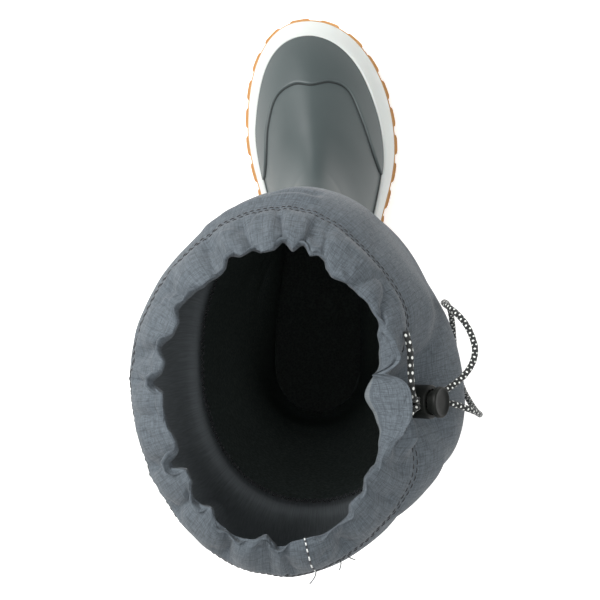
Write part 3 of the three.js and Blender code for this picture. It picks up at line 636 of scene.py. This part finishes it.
at_back = np.linalg.norm(upper_skin[:, :1] - upper_skin[:, -1:], axis=-1, keepdims=True) < 0.01
seam_out = unit(upper_out[:, :1] + upper_out[:, -1:])
upper_out[:, [0, -1]] = np.where(at_back, seam_out, upper_out[:, [0, -1]])
for start, end, depth, width in FLEX_MARKS:
    upper_skin = upper_skin - upper_out * (depth * groove(upper_skin, start, end, width))[..., None]

rubber_finish, tree, shader = new_finish("satin_rubber", Specular_IOR_Level=0.5)
bloom = noise(tree, 18.0, 4.0)
paint(tree, shader, bloom, (0.050, 0.064, 0.065), (0.077, 0.096, 0.096))
wear(tree, shader, bloom, 0.34, 0.5)
add_relief(tree, shader, noise(tree, 1100.0, 3.0), 0.06, 0.0003)

lining_finish, tree, shader = new_finish("boot_lining", Roughness=0.97, Specular_IOR_Level=0.1)
knit = knit_cells(tree, 620.0)
paint(tree, shader, knit, (0.075, 0.092, 0.086), (0.16, 0.19, 0.18))
add_relief(tree, shader, knit, 0.4, 0.0004)

upper = new_piece("upper_rubber", upper_skin, [rubber_finish, lining_finish], around=False)
wall = upper.modifiers.new("wall", "SOLIDIFY")
wall.thickness = WALL / 1000
wall.offset = -1
wall.material_offset = 1
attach(upper, "boot")
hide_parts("upper")

# Foxing: an off-white strip of rubber wrapped round the bottom of the upper and cured on to it.
# It covers the feather line, and its top edge is rounded and a little lower round the toe.
FOXING_HEIGHT, FOXING_DROP = 21.0, 2.5


def foxing_top(y):
    """Top edge of the foxing: a set height above the sole, dropping towards the toe."""
    return sole_top(y) + FOXING_HEIGHT - FOXING_DROP * smoothstep(y, SPRING, TOE_TIP)


def last_x(side, y, z):
    """The last's skin across the boot at a point of the side view. The section through the point is found
    by halving on which side of the section's line the point lies."""
    y, z = np.broadcast_arrays(np.asarray(y, float), np.asarray(z, float))
    def before(place):
        foot_y, foot_z, top_y, top_z = section_ends(place)
        return (top_y - foot_y) * (z - foot_z) < (top_z - foot_z) * (y - foot_y)
    place = halve(np.zeros_like(y), np.full_like(y, TOE_ROW), before)
    foot_y, foot_z, top_y, top_z = section_ends(place)
    share = ((y - foot_y) * (top_y - foot_y) + (z - foot_z) * (top_z - foot_z)) / (
        (top_y - foot_y) ** 2 + (top_z - foot_z) ** 2)
    return section_x(side, place, np.clip(share, 0, 1))


def front_height(y):
    """Height of the front line over a place along the foot."""
    place = halve(np.full_like(y, 8.0), np.full_like(y, TOE_ROW), lambda p: along_rows(TOP_Y, p) < y)
    return along_rows(TOP_Z, place)


def band_ring(share, steps=150):
    """The last's skin at a share of the foxing's height, once round the boot: cosine spacing from the
    back line to the toe's front line, up the outer side and back on the inner side."""
    def level(y):
        return sole_top(y) + GAP + share * (foxing_top(y) - sole_top(y) - GAP)
    toe = halve(np.array(200.0), np.array(TOE_TIP), lambda y: front_height(y) > level(y))
    heel = back_line(level(np.array(0.0)))
    y = heel + (toe - heel) * eased_shares(steps + 1)
    halves = [np.stack([last_x(side, y, level(y)), y, level(y)], -1) for side in (OUTER, INNER)]
    return np.concatenate([halves[0][:-1], halves[1][:0:-1]])


BAND_SHARES = np.linspace(0, 1, 15)
band = np.stack([band_ring(share) for share in BAND_SHARES])
band_out = grid_normals(band, ring=True)
# share of the height and distance out from the last, round the band's section
BAND_SECTION = [(0, 0.3), (0, 2.2), (0.015, 2.65), (0.05, 2.8), (0.3, 2.85), (0.6, 2.75), (0.85, 2.6),
                (0.93, 2.45), (0.97, 2.15), (0.99, 1.75), (1, 1.1), (1, 0.3), (0.5, 0.3)]
foxing_rings = []
for share, offset in BAND_SECTION:
    row = share * (len(BAND_SHARES) - 1)
    foxing_rings.append(along_rows(band, np.array(row)) + offset * unit(along_rows(band_out, np.array(row))))

foxing_finish, tree, shader = new_finish("off_white_rubber", Specular_IOR_Level=0.45, Subsurface_Weight=0.04,
                                         Subsurface_Scale=0.002)
cloud = noise(tree, 35.0, 4.0)
paint(tree, shader, cloud, (0.62, 0.645, 0.62), (0.69, 0.715, 0.69))
wear(tree, shader, cloud, 0.38, 0.55)
add_relief(tree, shader, noise(tree, 900.0, 3.0), 0.06, 0.0003)

foxing = new_piece("foxing_band", foxing_rings, [foxing_finish], closed=True)
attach(foxing, "boot")
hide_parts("foxing")

# Toe cap: a second layer of the same rubber over the toe, cut with two lobes over the vamp and an arm
# down each side, cemented on under the foxing's edge. A thin dark tube along its rear edge is painted
# shade: the shade in the step where the cap meets the upper.
CAP_THICKNESS = 1.2
CAP_EDGE = np.array([
    (-60, 150), (-37.5, 170), (-33, 208), (-27, 228), (-15, 235.8), (-3, 234.8), (10, 237.4), (22, 232),
    (31.5, 211), (44, 177), (62, 150),
], float)


def vamp_height(x, y):
    """Height of the last's skin over a plan point: halving on how far the skin reaches at each height."""
    side_of = x >= ridge(y)
    def inside(z):
        reach = np.where(side_of, last_x(OUTER, y, z), last_x(INNER, y, z))
        return np.abs(reach - ridge(y)) > np.abs(x - ridge(y))
    return halve(sole_top(y) + 4, front_height(y), inside, rounds=26)


cap_line = along_rows(CAP_EDGE, np.linspace(0.75, 9.3, 1500))
line_y = cap_line[:, 1]
line_side = cap_line[:, 0] > ridge(line_y)
line_z = foxing_top(line_y)
line_reach = np.where(line_side, last_x(OUTER, line_y, line_z), last_x(INNER, line_y, line_z))
within = np.abs(cap_line[:, 0] - ridge(line_y)) < np.abs(line_reach - ridge(line_y)) - 0.05
cap_line = cap_line[within]
CAP_COLUMNS = 220


def evenly(line, count):
    """Points of a plan line, evenly spaced along it."""
    gone = distance_along(line)
    return np.stack([np.interp(np.linspace(0, gone[-1], count), gone, line[:, k]) for k in (0, 1)], -1)


seam = evenly(cap_line, CAP_COLUMNS)
top_ring = band[-1]
toe_at = len(top_ring) // 2
outer_half, inner_half = top_ring[: toe_at + 1], top_ring[-np.arange(toe_at + 1)]
inner_rim = inner_half[inner_half[:, 1] > seam[0, 1], :2]
outer_rim = outer_half[outer_half[:, 1] > seam[-1, 1], :2][::-1]
rim = evenly(np.concatenate([seam[:1], inner_rim, outer_rim[1:], seam[-1:]]), CAP_COLUMNS)
CAP_SHARES = np.concatenate([[0, 0.008, 0.02, 0.04, 0.07, 0.11], np.linspace(0.16, 1, 26)])
cap_plan = seam[None] + (rim - seam)[None] * CAP_SHARES[:, None, None]
cap_height = vamp_height(cap_plan[..., 0].ravel(), cap_plan[..., 1].ravel()).reshape(cap_plan.shape[:2])
cap_floor = foxing_top(cap_plan[..., 1]) + GAP
cap_base = np.concatenate([cap_plan, np.maximum(cap_height, cap_floor)[..., None]], -1)
cap_out = grid_normals(cap_base)
cap_out = cap_out * np.sign((cap_out[..., 2]).sum())
seam_gap = np.linalg.norm(cap_base - cap_base[:1], axis=-1)
EDGE_ROUND = 1.4
cap_lift = GAP + CAP_THICKNESS * np.maximum(0.15, rounding(seam_gap / EDGE_ROUND, 2))
cap_top = cap_base + cap_lift[..., None] * cap_out
cap_under = cap_base + GAP * cap_out
cap_skin = np.concatenate([cap_top, cap_under[::-1]])
toe_cap = new_piece("toe_cap_rubber", cap_skin, [rubber_finish], around=False, closed=True)
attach(toe_cap, "boot")
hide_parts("toe_cap")

# Painted shade: a thin dark tube laid on the upper along the cap's rear edge, for the shade in the step there.
step_shade_finish, tree, shader = new_finish("painted_step_shade", Roughness=0.7)
paint(tree, shader, noise(tree, 300.0), (0.012, 0.016, 0.016), (0.03, 0.036, 0.036))
STEP_SHADE_RADIUS = 0.5
away = unit(cap_base[0] - cap_base[3])
step_shade_path = (cap_base[0] + 0.35 * away + 0.1 * cap_out[1])[3:-3]
step_shade = new_piece("toe_cap_step_shade", tube(step_shade_path, STEP_SHADE_RADIUS, 8, (0.05, 0.02, 1)), [step_shade_finish])
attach(step_shade, "boot")

# Cuff: a tube of woven ripstop sewn inside the rubber collar. It rolls out over the collar, billows, and
# is gathered by the cord in a hem, so the hem stands in puffed lobes between sharp creases, with a deep
# tuck beside the lock. The lower edge of the hem's tunnel is pulled in along its stitching.
# z, half width, half depth, middle x, middle y, wall, ruffle, pinch, billow, from the seam to the hem
CUFF_RINGS = np.array([
    (277, 53, 68, 0, 72, 1.2, 0, 0, 0),
    (291, 53, 68, 0, 72, 1.2, 0, 0, 0),
    (295, 57.5, 72.5, -0.3, 72, 1.3, 0, 0, 0),
    (304, 61.5, 75.5, -0.8, 72, 1.3, 0.1, 0, 0.6),
    (322, 64.5, 77, -1.6, 72, 1.3, 0.2, 1, 1),
    (341, 65.5, 76.5, -3.6, 71.5, 1.3, 0.35, 12.5, 1),
    (354, 63, 75.5, -7.2, 69, 1.6, 0.6, 22.5, 0.7),
    (364, 59, 72, -10.4, 67.2, 4, 0.9, 22, 0.4),
    (373, 55.5, 68.2, -11.6, 67.6, 8, 1.1, 17.5, 0),
    (380, 51, 63.2, -11.6, 68.5, 6, 1.1, 15, 0),
    (383, 47.2, 59.2, -11.5, 69, 2.6, 1, 14, 0),
])
STITCH_ROW, TOP_ROW = 7, 10
# the hem's inner edge round the mouth: angle in degrees and how far it lies inwards of its oval
HEM_EDGE = np.array([
    (0, -2.6), (12, -2.4), (20, 0.8), (26, 2.2), (29, 1.0), (33, 0.9), (37, 0.9), (44, 2.0),
    (52, 4.2), (58, 5.2), (62, 4.4), (65, 2.2), (68, 1.6), (71.5, 2.8), (76, 0.7), (80.5, 3.6),
    (86.5, 1.0), (91, 3.6), (98.5, 4.6), (103, 2.8), (109, 3.2), (114.5, 1.1), (118, 4.0), (123, 4.6),
    (129, 3.6), (136, 2.4), (140, 1.6), (144.6, 0.4), (150, 3.0), (154, 3.0), (161, 0.2), (165.6, 2.6),
    (170, 2.4), (174.4, -0.4), (178.5, 3.4), (185, 2.8), (192, 3.8), (200, 5.2), (204, 4.6), (207.5, 0.1),
    (212.5, 5.2), (217.5, 4.6), (222, 2.0), (225, 1.1), (232.5, 4.4), (238.5, 1.4), (243, 1.0), (248.5, 0.1),
    (255, 1.6), (263.5, 5.4), (268, 3.0), (271.5, 0.4), (278, 1.8), (288, 1.6), (294.5, 0.3), (303, 0.5),
    (307, 1.1), (311, 3.6), (315, 3.4), (318.7, 2.4), (324, 4.4), (328, 3.8), (331.5, 2.4), (338, 1.4),
    (346, -1.6), (352, -3), (360, -2.6),
])
# where a crease runs out over the hem from the edge, how far it leans, how deep it is and how wide
HEM_CREASES = [
    (29, 8, 4.4, 4.6), (48, -4, 2.4, 3.6), (65, 3, 2.6, 3.6), (76, -2, 3.2, 3.0), (86.5, 2, 3.6, 3.0),
    (102, 3, 4.0, 4.0), (114.5, 5, 3.4, 3.6), (124, -2, 2.8, 4.0), (138, 3, 4.2, 4.2), (145, 2, 2.4, 2.8),
    (161, 4, 4.4, 4.4), (174.4, 0, 4.8, 3.4), (190, -3, 2.2, 3.8), (207.5, -2, 5.0, 3.6), (226, -4, 4.6, 4.2),
    (243, 4, 2.4, 4.0), (249, -3, 3.0, 3.4), (263, 2, 2.8, 4.4), (271.5, 4, 3.4, 3.6), (294.5, 5, 2.8, 4.0),
    (305, -5, 3.4, 4.6), (318.7, 4, 2.8, 3.8), (331.5, 3, 2.8, 4.0), (342, -2, 1.6, 3.4),
]
# where, how deep inwards and how wide: the slack of the cloth below the hem
BILLOWS = [(42, 7, 25), (128, 0.5, 22), (160, -1.8, 18), (192, 1.5, 12), (222, 1.5, 18), (305, 2, 20),
           (-18, -5, 20)]
PINCH_AT, PINCH_WIDE, TUCK_AT, TUCK_WIDE = 0, 18, 9.5, 3.0


def turn_between(angle, at):
    """Signed turn from one angle to another, in degrees."""
    return (angle - at + 180) % 360 - 180


def hem_edge(angle):
    """How far the hem bulges inwards: the edge's table joined by eased steps, a little sharper at the notches."""
    stop = np.clip(np.searchsorted(HEM_EDGE[:, 0], angle % 360, side="right"), 1, len(HEM_EDGE) - 1)
    (start, low), (end, high) = HEM_EDGE[stop - 1].T, HEM_EDGE[stop].T
    share = (angle % 360 - start) / (end - start)
    bowed = np.where(low < high, share ** 0.7, 1 - (1 - share) ** 0.7)
    return low + (high - low) * (0.8 * smoothstep(share, 0, 1) + 0.2 * bowed)


rings = np.concatenate([CUFF_RINGS, CUFF_RINGS[::-1]])
inside = np.arange(len(rings)) >= len(CUFF_RINGS)
rings[inside, 1:3] -= rings[inside, 5:6]
CUFF_ROWS, CUFF_COLUMNS = 154, 540
cuff_place = np.arange(CUFF_ROWS) * len(rings) / CUFF_ROWS
cuff_angle = np.arange(CUFF_COLUMNS) * 360 / CUFF_COLUMNS
ring_at = along_rows(rings, cuff_place, ring=True)
ring_z, half, depth, middle_x, middle_y, _, ruffle, pinch, billow = (ring_at[:, k, None] for k in range(9))
slack = sum(deep * np.exp(-(turn_between(cuff_angle, at) / wide) ** 2) for at, deep, wide in BILLOWS)
hollow = np.exp(-(turn_between(cuff_angle, PINCH_AT) / PINCH_WIDE) ** 2)
tuck = 0.85 * np.exp(-(np.abs(turn_between(cuff_angle, TUCK_AT)) / TUCK_WIDE) ** 1.05)
both_faces = np.minimum(cuff_place, len(rings) - 1 - cuff_place)
over_hem = smoothstep(both_faces, STITCH_ROW + 1.2, TOP_ROW)[:, None]
bulge = hem_edge(cuff_angle)
dip = 0.75 * (3.2 - bulge)
rising = 0.15 + 0.85 * smoothstep(cuff_place, STITCH_ROW + 0.5, TOP_ROW)
puff = ruffle * np.where(cuff_place < TOP_ROW, rising, 1)[:, None]
inset = puff * bulge + billow * slack + pinch * (hollow + (tuck - hollow) * over_hem)
fullness = 2 / (2.2 - 0.3 * smoothstep(ring_z, COLLAR_HEIGHT, 345))
cos, sin = np.cos(np.radians(cuff_angle)), np.sin(np.radians(cuff_angle))
cuff_skin = np.stack(np.broadcast_arrays(
    middle_x + (half - inset) * np.sign(cos) * np.abs(cos) ** fullness,
    middle_y + (depth - inset) * np.sign(sin) * np.abs(sin) ** fullness,
    ring_z - dip * np.exp(-((cuff_place[:, None] - TOP_ROW - 0.6) / 1.5) ** 2),
), -1)


def torus_normals(grid):
    """Unit normals of a grid that wraps both ways: cross product of its central differences."""
    along = np.roll(grid, -1, axis=1) - np.roll(grid, 1, axis=1)
    up = np.roll(grid, -1, axis=0) - np.roll(grid, 1, axis=0)
    return unit(np.cross(along, up))


def cuff_groove(place, row, angle, row_to, angle_to, width):
    """A soft mark on the cloth between two places, given by row and angle: a bell across the line."""
    per_row, per_degree = 11.0, 1.15
    along = np.array([(row_to - row) * per_row, turn_between(angle_to, angle) * per_degree])
    away = np.stack(np.broadcast_arrays(
        (place[:, None] - row) * per_row, turn_between(cuff_angle, angle)[None] * per_degree), -1)
    share = np.clip(away @ along / (along @ along), 0, 1)
    gap = np.linalg.norm(away - share[..., None] * along, axis=-1)
    return np.exp(-(gap / width) ** 2)


# from row and angle, to row and angle, depth in (less than zero stands out), width
CUFF_MARKS = [
    (5.6, 82, 5.6, 118, 1.6, 2.6), (6.1, 80, 6.1, 122, -1.0, 3.0),
    (4.6, -32, 5.8, -12, 1.6, 4.0), (4.2, 22, 5.6, 8, 1.8, 4.0), (3.6, 34, 5.0, 18, 1.0, 4.5),
    (4.4, 60, 6.2, 52, 0.9, 3.5), (4.0, 96, 5.2, 104, 0.8, 4.0), (4.4, 170, 6.2, 176, 1.1, 4.0),
    (4.6, 196, 6.4, 204, 1.0, 4.0), (4.2, 232, 6.0, 226, 1.2, 4.0), (4.4, 256, 6.3, 262, 1.0, 3.5),
    (4.2, 288, 6.0, 282, 1.1, 4.0), (4.4, 316, 6.2, 312, 1.0, 4.0), (3.4, 140, 5.4, 132, 1.0, 5.0),
]
face = np.where(cuff_place < TOP_ROW + 0.5, 1, -1)[:, None]
cuff_out = torus_normals(cuff_skin)
relief = face * sum(depth_in * cuff_groove(both_faces, row, angle, row_to, angle_to, width)
                    for row, angle, row_to, angle_to, depth_in, width in CUFF_MARKS)
relief = relief + 0.6 * np.exp(-((cuff_place - STITCH_ROW) / 0.25) ** 2)[:, None]
CREASE_SHARPNESS, CREASE_FULL, CREASE_FADES = 1.2, 8, (11.2, 12.6)
fade = smoothstep(cuff_place, STITCH_ROW, CREASE_FULL) * (1 - smoothstep(cuff_place, *CREASE_FADES))
for crease, lean, deep, wide in HEM_CREASES:
    line = crease + lean * (TOP_ROW + 0.5 - cuff_place[:, None]) / 2.5
    off_crease = np.abs(turn_between(cuff_angle, line)) / wide
    relief = relief + deep * fade[:, None] * np.exp(-off_crease ** CREASE_SHARPNESS)
FOLD_OVER_CORD, FOLD_HEIGHT = (7.9, -17, 7.9, -12, 5.0), 7.5
relief = relief - FOLD_HEIGHT * cuff_groove(cuff_place, *FOLD_OVER_CORD)
CRINKLES = 150
crinkles = np.random.default_rng(7)
for _ in range(CRINKLES):
    row, at = crinkles.uniform(7.1, 12.4), crinkles.uniform(0, 360)
    row_to, at_to = row + crinkles.uniform(-0.7, 0.7), at + crinkles.uniform(-5, 5)
    mark = cuff_groove(cuff_place, row, at, row_to, at_to, crinkles.uniform(1.0, 2.8))
    relief = relief + crinkles.choice((-0.6, 1.0)) * crinkles.uniform(0.3, 1.0) * mark
cuff_skin = cuff_skin - relief[..., None] * cuff_out
cuff_out = torus_normals(cuff_skin)


def streaks(tree, cloth, scale, roughness=0.5):
    """Noise drawn out along the cloth, with so many spots to the millimetre each way."""
    stretched = add_node(tree, "ShaderNodeMapping", {"Vector": cloth, "Scale": scale}).outputs["Vector"]
    sockets = {"Vector": stretched, "Scale": 1.0, "Detail": 4.0, "Roughness": roughness}
    return add_node(tree, "ShaderNodeTexNoise", sockets).outputs["Fac"]


fabric_finish, tree, shader = new_finish("slate_ripstop", Roughness=0.86, Sheen_Weight=0.12,
                                         Sheen_Roughness=0.4, Specular_IOR_Level=0.25)
cloth = add_node(tree, "ShaderNodeUVMap").outputs["UV"]
threads = [streaks(tree, cloth, scale, 0.7) for scale in ((1.6, 0.2, 1), (0.2, 1.6, 1))]
shade = remap(tree, work_out(tree, "ADD", *threads), 0.8, 1.2)
slate = mix_colours(tree, shade, (0.062, 0.073, 0.083), (0.125, 0.147, 0.166))
RIPSTOP_PITCH = 3.2
axes = add_node(tree, "ShaderNodeSeparateXYZ", {"Vector": cloth})
ribs = []
for axis, worn in zip("XY", threads):
    cell = work_out(tree, "MULTIPLY", axes.outputs[axis], 2 / RIPSTOP_PITCH)
    rib = remap(tree, work_out(tree, "PINGPONG", cell, 1.0), 0.2, 0.06)
    ribs.append(work_out(tree, "MULTIPLY", rib, worn))
rib_share = work_out(tree, "MULTIPLY", work_out(tree, "MAXIMUM", *ribs), 0.5)
paint(tree, shader, rib_share, slate, (0.022, 0.026, 0.032))
fine = add_node(tree, "ShaderNodeTexNoise", {"Vector": cloth, "Scale": 2.6, "Detail": 2.0}).outputs["Fac"]
add_relief(tree, shader, work_out(tree, "ADD", fine, shade), 0.3, 0.0003)

# The cloth's inner face gets a copy of the cloth of its own. Its colour is partly the cloth's coated back and
# partly painted light and shade for the dim inside of the mouth.
cuff_back_and_painted_light, tree, shader = new_finish("cuff_back_and_painted_light", Roughness=0.92, Specular_IOR_Level=0.2)
cloth = add_node(tree, "ShaderNodeUVMap").outputs["UV"]
strands = streaks(tree, cloth, (1.6, 0.08, 1))
paint(tree, shader, strands, (0.085, 0.096, 0.103), (0.2, 0.22, 0.23))
add_relief(tree, shader, strands, 0.35, 0.0004)

CUFF_ROUND = 430.0
profile = np.linalg.norm(np.diff(cuff_skin[:, 0], axis=0, append=cuff_skin[:1, 0]), axis=1)
cloth_u = np.linspace(0, CUFF_ROUND, CUFF_COLUMNS + 1)
cloth_v = np.concatenate([[0], np.cumsum(profile)])
cuff = new_piece("cuff_cloth", cuff_skin, [fabric_finish, cuff_back_and_painted_light], closed=True, uv=(cloth_u, cloth_v))
# The rows of the inner face take that copy, with its painted light and shade.
row_of = np.repeat(cuff_place, CUFF_COLUMNS)
BACK_FACE_FROM, BACK_FACE_TO = 12.4, 21.6
on_back_face = ((row_of > BACK_FACE_FROM) & (row_of < BACK_FACE_TO)).astype(np.int32)
cuff.data.polygons.foreach_set("material_index", on_back_face)
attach(cuff, "boot")
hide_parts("cuff")

# Sewing of the cuff: two rows of dark lockstitch along the tunnel's lower edge, a chain of light and dark
# stitches down the back seam of the hem, loose ends there, and an overlock edge at the collar seam.
def thread(name, first, second):
    """Twisted thread between two colours."""
    material, tree, shader = new_finish(name, Roughness=0.6, Sheen_Weight=0.2)
    twist = noise(tree, 2500.0)
    paint(tree, shader, twist, first, second)
    add_relief(tree, shader, twist, 0.3, 0.0002)
    return material


thread_finish = thread("dark_thread", (0.008, 0.009, 0.012), (0.03, 0.034, 0.04))
white_thread = thread("light_thread", (0.55, 0.57, 0.56), (0.8, 0.82, 0.8))


def on_cuff(place, angle, lift):
    """Points on the cloth at a row and an angle, moved off it along its normal; bilinear between the grid's
    points."""
    row, column = place / len(rings) * CUFF_ROWS, angle / 360 * CUFF_COLUMNS
    r, c = np.floor(row).astype(int), np.floor(column).astype(int)
    t, s = (row - r)[..., None], (column - c)[..., None]
    corners = [(0, 0, (1 - t) * (1 - s)), (0, 1, (1 - t) * s), (1, 0, t * (1 - s)), (1, 1, t * s)]
    skin, out = 0, 0
    for down, along, share in corners:
        corner = (r + down) % CUFF_ROWS, (c + along) % CUFF_COLUMNS
        skin, out = skin + share * cuff_skin[corner], out + share * cuff_out[corner]
    return skin + np.asarray(lift)[..., None] * unit(out)


STITCH_STEP, STITCH_SHARE, THREAD = 2.6, 0.66, 0.24
stitch_bow = 0.34 * np.sin(np.pi * np.linspace(0, 1, 6)) - 0.12
hem_stitches = []
for row in (STITCH_ROW - 0.11, STITCH_ROW + 0.11):
    start = np.arange(0, 360, STITCH_STEP)[:, None] + (row > STITCH_ROW) * STITCH_STEP / 2
    angle = start + STITCH_STEP * STITCH_SHARE * np.linspace(0, 1, 6)
    hem_stitches.append(on_cuff(np.full_like(angle, row), angle, np.broadcast_to(stitch_bow, angle.shape)))
hem_stitches = np.concatenate(hem_stitches)
hem_thread = new_piece("hem_stitching", tube(hem_stitches, THREAD, 6, (0.02, 0.03, 1)), [thread_finish])

SEAM_AT = -75.5
seam_rows = np.linspace(7.3, 12.0, 15)
stitch_rows = seam_rows[:-1, None] + 0.8 * np.diff(seam_rows)[:, None] * np.linspace(0, 1, 6)
seam_lift = np.broadcast_to(stitch_bow + 0.1, stitch_rows.shape)
seam_paths = on_cuff(stitch_rows, np.full_like(stitch_rows, SEAM_AT), seam_lift)
back_light = new_piece("back_seam_light", tube(seam_paths[::2], 0.32, 6, (1, 0.2, 0.1)), [white_thread])
back_dark = new_piece("back_seam_dark", tube(seam_paths[1::2], 0.32, 6, (1, 0.2, 0.1)), [thread_finish])
ridge_rows = np.linspace(12.2, 18.5, 90)
ridge_angle = -72 + 3.5 * (ridge_rows - 12.2) / 6.3
ridge_path = on_cuff(ridge_rows, ridge_angle, np.full(len(ridge_rows), 0.1))
inner_ridge = new_piece("back_seam_inside", tube(ridge_path, 0.55, 8, (1, 0.2, 0.1)), [thread_finish])

# Each loose end is a short curl of thread from the cloth outwards: row, angle, length and curl
LOOSE_ENDS = [(6.9, -66.5, 4.0, 0.6), (6.8, -63.8, 3.4, -0.5), (7.4, -75.2, 5.0, 0.8)]
end_share = np.linspace(0, 1, 14)
ends = []
for row, angle, length, curl in LOOSE_ENDS:
    root = on_cuff(np.array(row), np.array(angle), np.array(-0.3))
    out = unit(on_cuff(np.array(row), np.array(angle), np.array(1.0)) - root)
    side = unit(np.cross(out, (0, 0, 1)))
    ends.append(root + length * (end_share[:, None] * out + curl * (end_share ** 2)[:, None] * side
                                 - 0.35 * (end_share ** 2)[:, None] * np.array([0, 0, 1])))
loose_thread = new_piece("loose_ends", tube(ends, 0.22, 6, (0.1, 0.1, 1)), [thread_finish])

OVERLOCK_TURNS, OVERLOCK_POINTS = 150, 1500
wind = np.linspace(0, 1, OVERLOCK_POINTS)
phase = 2 * np.pi * OVERLOCK_TURNS * wind
edge_row = 20.45 + 0.10 * np.cos(phase) + 0.03 * np.sin(0.37 * phase)
overlock_path = on_cuff(edge_row, 360 * wind, 0.75 + 0.55 * np.sin(phase) + 0.2 * np.sin(0.11 * phase))
overlock = new_piece("collar_overlock", tube(overlock_path, 0.3, 5, (0.02, 0.03, 1)), [thread_finish])
for sewing in (hem_thread, back_light, back_dark, inner_ridge, loose_thread, overlock):
    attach(sewing, "boot")

# Cord lock: a moulded barrel with a spring plunger, both slotted crosswise for the two cords.
# Pressing the plunger's head in lines the slots up, and its spring pinches the cords when it is let go.
LOCK_SIDES = 64
# radius and place along the axis, round the barrel's wall and round the plunger
BARREL_PROFILE = [
    (0, -5.6), (5.4, -5.6), (6.1, -5.4), (6.45, -4.9), (6.5, -4.2), (6.5, 2.3), (6.42, 2.8), (6.15, 3.1),
    (5.8, 3.2), (5.15, 3.2), (4.9, 3.1), (4.8, 2.8), (4.8, -4.5), (0, -4.5),
]
PLUNGER_PROFILE = [
    (0, 7.05), (2.5, 7.08), (4.6, 7.22), (5.0, 7.5), (5.3, 7.6), (5.6, 7.55), (5.9, 7.25), (6, 6.8),
    (6, 6.2), (5.85, 5.7), (5.5, 5.5), (4.7, 5.5), (4.5, 5.3), (4.5, -2.0), (4.2, -2.3), (0, -2.3),
]
SLOT_WIDTH, SLOT_HEIGHT, TRAVEL = 5.9, 3.1, 1.8


def turned(profile):
    """A profile of radius and place spun about the lock's axis."""
    radius, along = np.asarray(profile, float).T
    turn = 2 * np.pi * np.arange(LOCK_SIDES) / LOCK_SIDES
    spun = np.broadcast_arrays(radius[:, None] * np.cos(turn), radius[:, None] * np.sin(turn), along[:, None])
    return at_lock(np.stack(spun, -1))


def slot_bar(low, high):
    """A bar along the cords with an oval section, from one height on the axis to another, to cut a slot."""
    turn = 2 * np.pi * np.arange(32) / 32
    across = SLOT_WIDTH / 2 * np.sign(np.cos(turn)) * np.abs(np.cos(turn)) ** 0.5
    along = (low + high) / 2 + (high - low) / 2 * np.sign(np.sin(turn)) * np.abs(np.sin(turn)) ** 0.5
    reach = np.array([-14, -14, 14, 14.0])[:, None]
    size = np.array([0, 1, 1, 0.0])[:, None]
    middle = (low + high) / 2
    return at_lock(np.stack(np.broadcast_arrays(reach, size * across, middle + size * (along - middle)), -1))


def cut_slot(piece, cutter):
    """Cuts one piece's shape out of another for good, and removes the cutter."""
    cut = piece.modifiers.new("slot", "BOOLEAN")
    cut.object = cutter
    cut.solver = "EXACT"
    cut_mesh = bpy.data.meshes.new_from_object(piece.evaluated_get(bpy.context.evaluated_depsgraph_get()))
    piece.modifiers.clear()
    piece.data = cut_mesh
    bpy.data.objects.remove(cutter)
    piece.data.shade_smooth()
    piece.data.set_sharp_from_angle(angle=np.radians(32))


lock_finish, tree, shader = new_finish("moulded_lock", Specular_IOR_Level=0.14)
cloud = noise(tree, 260.0, 3.0)
paint(tree, shader, cloud, (0.006, 0.0068, 0.006), (0.012, 0.0133, 0.0118))
wear(tree, shader, cloud, 0.36, 0.52)
add_relief(tree, shader, noise(tree, 3200.0, 2.0), 0.12, 0.0001)

barrel = new_piece("lock_barrel", turned(BARREL_PROFILE), [lock_finish])
cut_slot(barrel, new_piece("barrel_slot", slot_bar(-SLOT_HEIGHT / 2, SLOT_HEIGHT / 2), [lock_finish]))
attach(barrel, "boot")
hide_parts("lock_body")
plunger = new_piece("lock_plunger", turned(PLUNGER_PROFILE), [lock_finish])
long_slot = slot_bar(-SLOT_HEIGHT / 2, SLOT_HEIGHT / 2 + TRAVEL)
cut_slot(plunger, new_piece("plunger_slot", long_slot, [lock_finish]))
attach(plunger, "plunger")
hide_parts("lock_button")
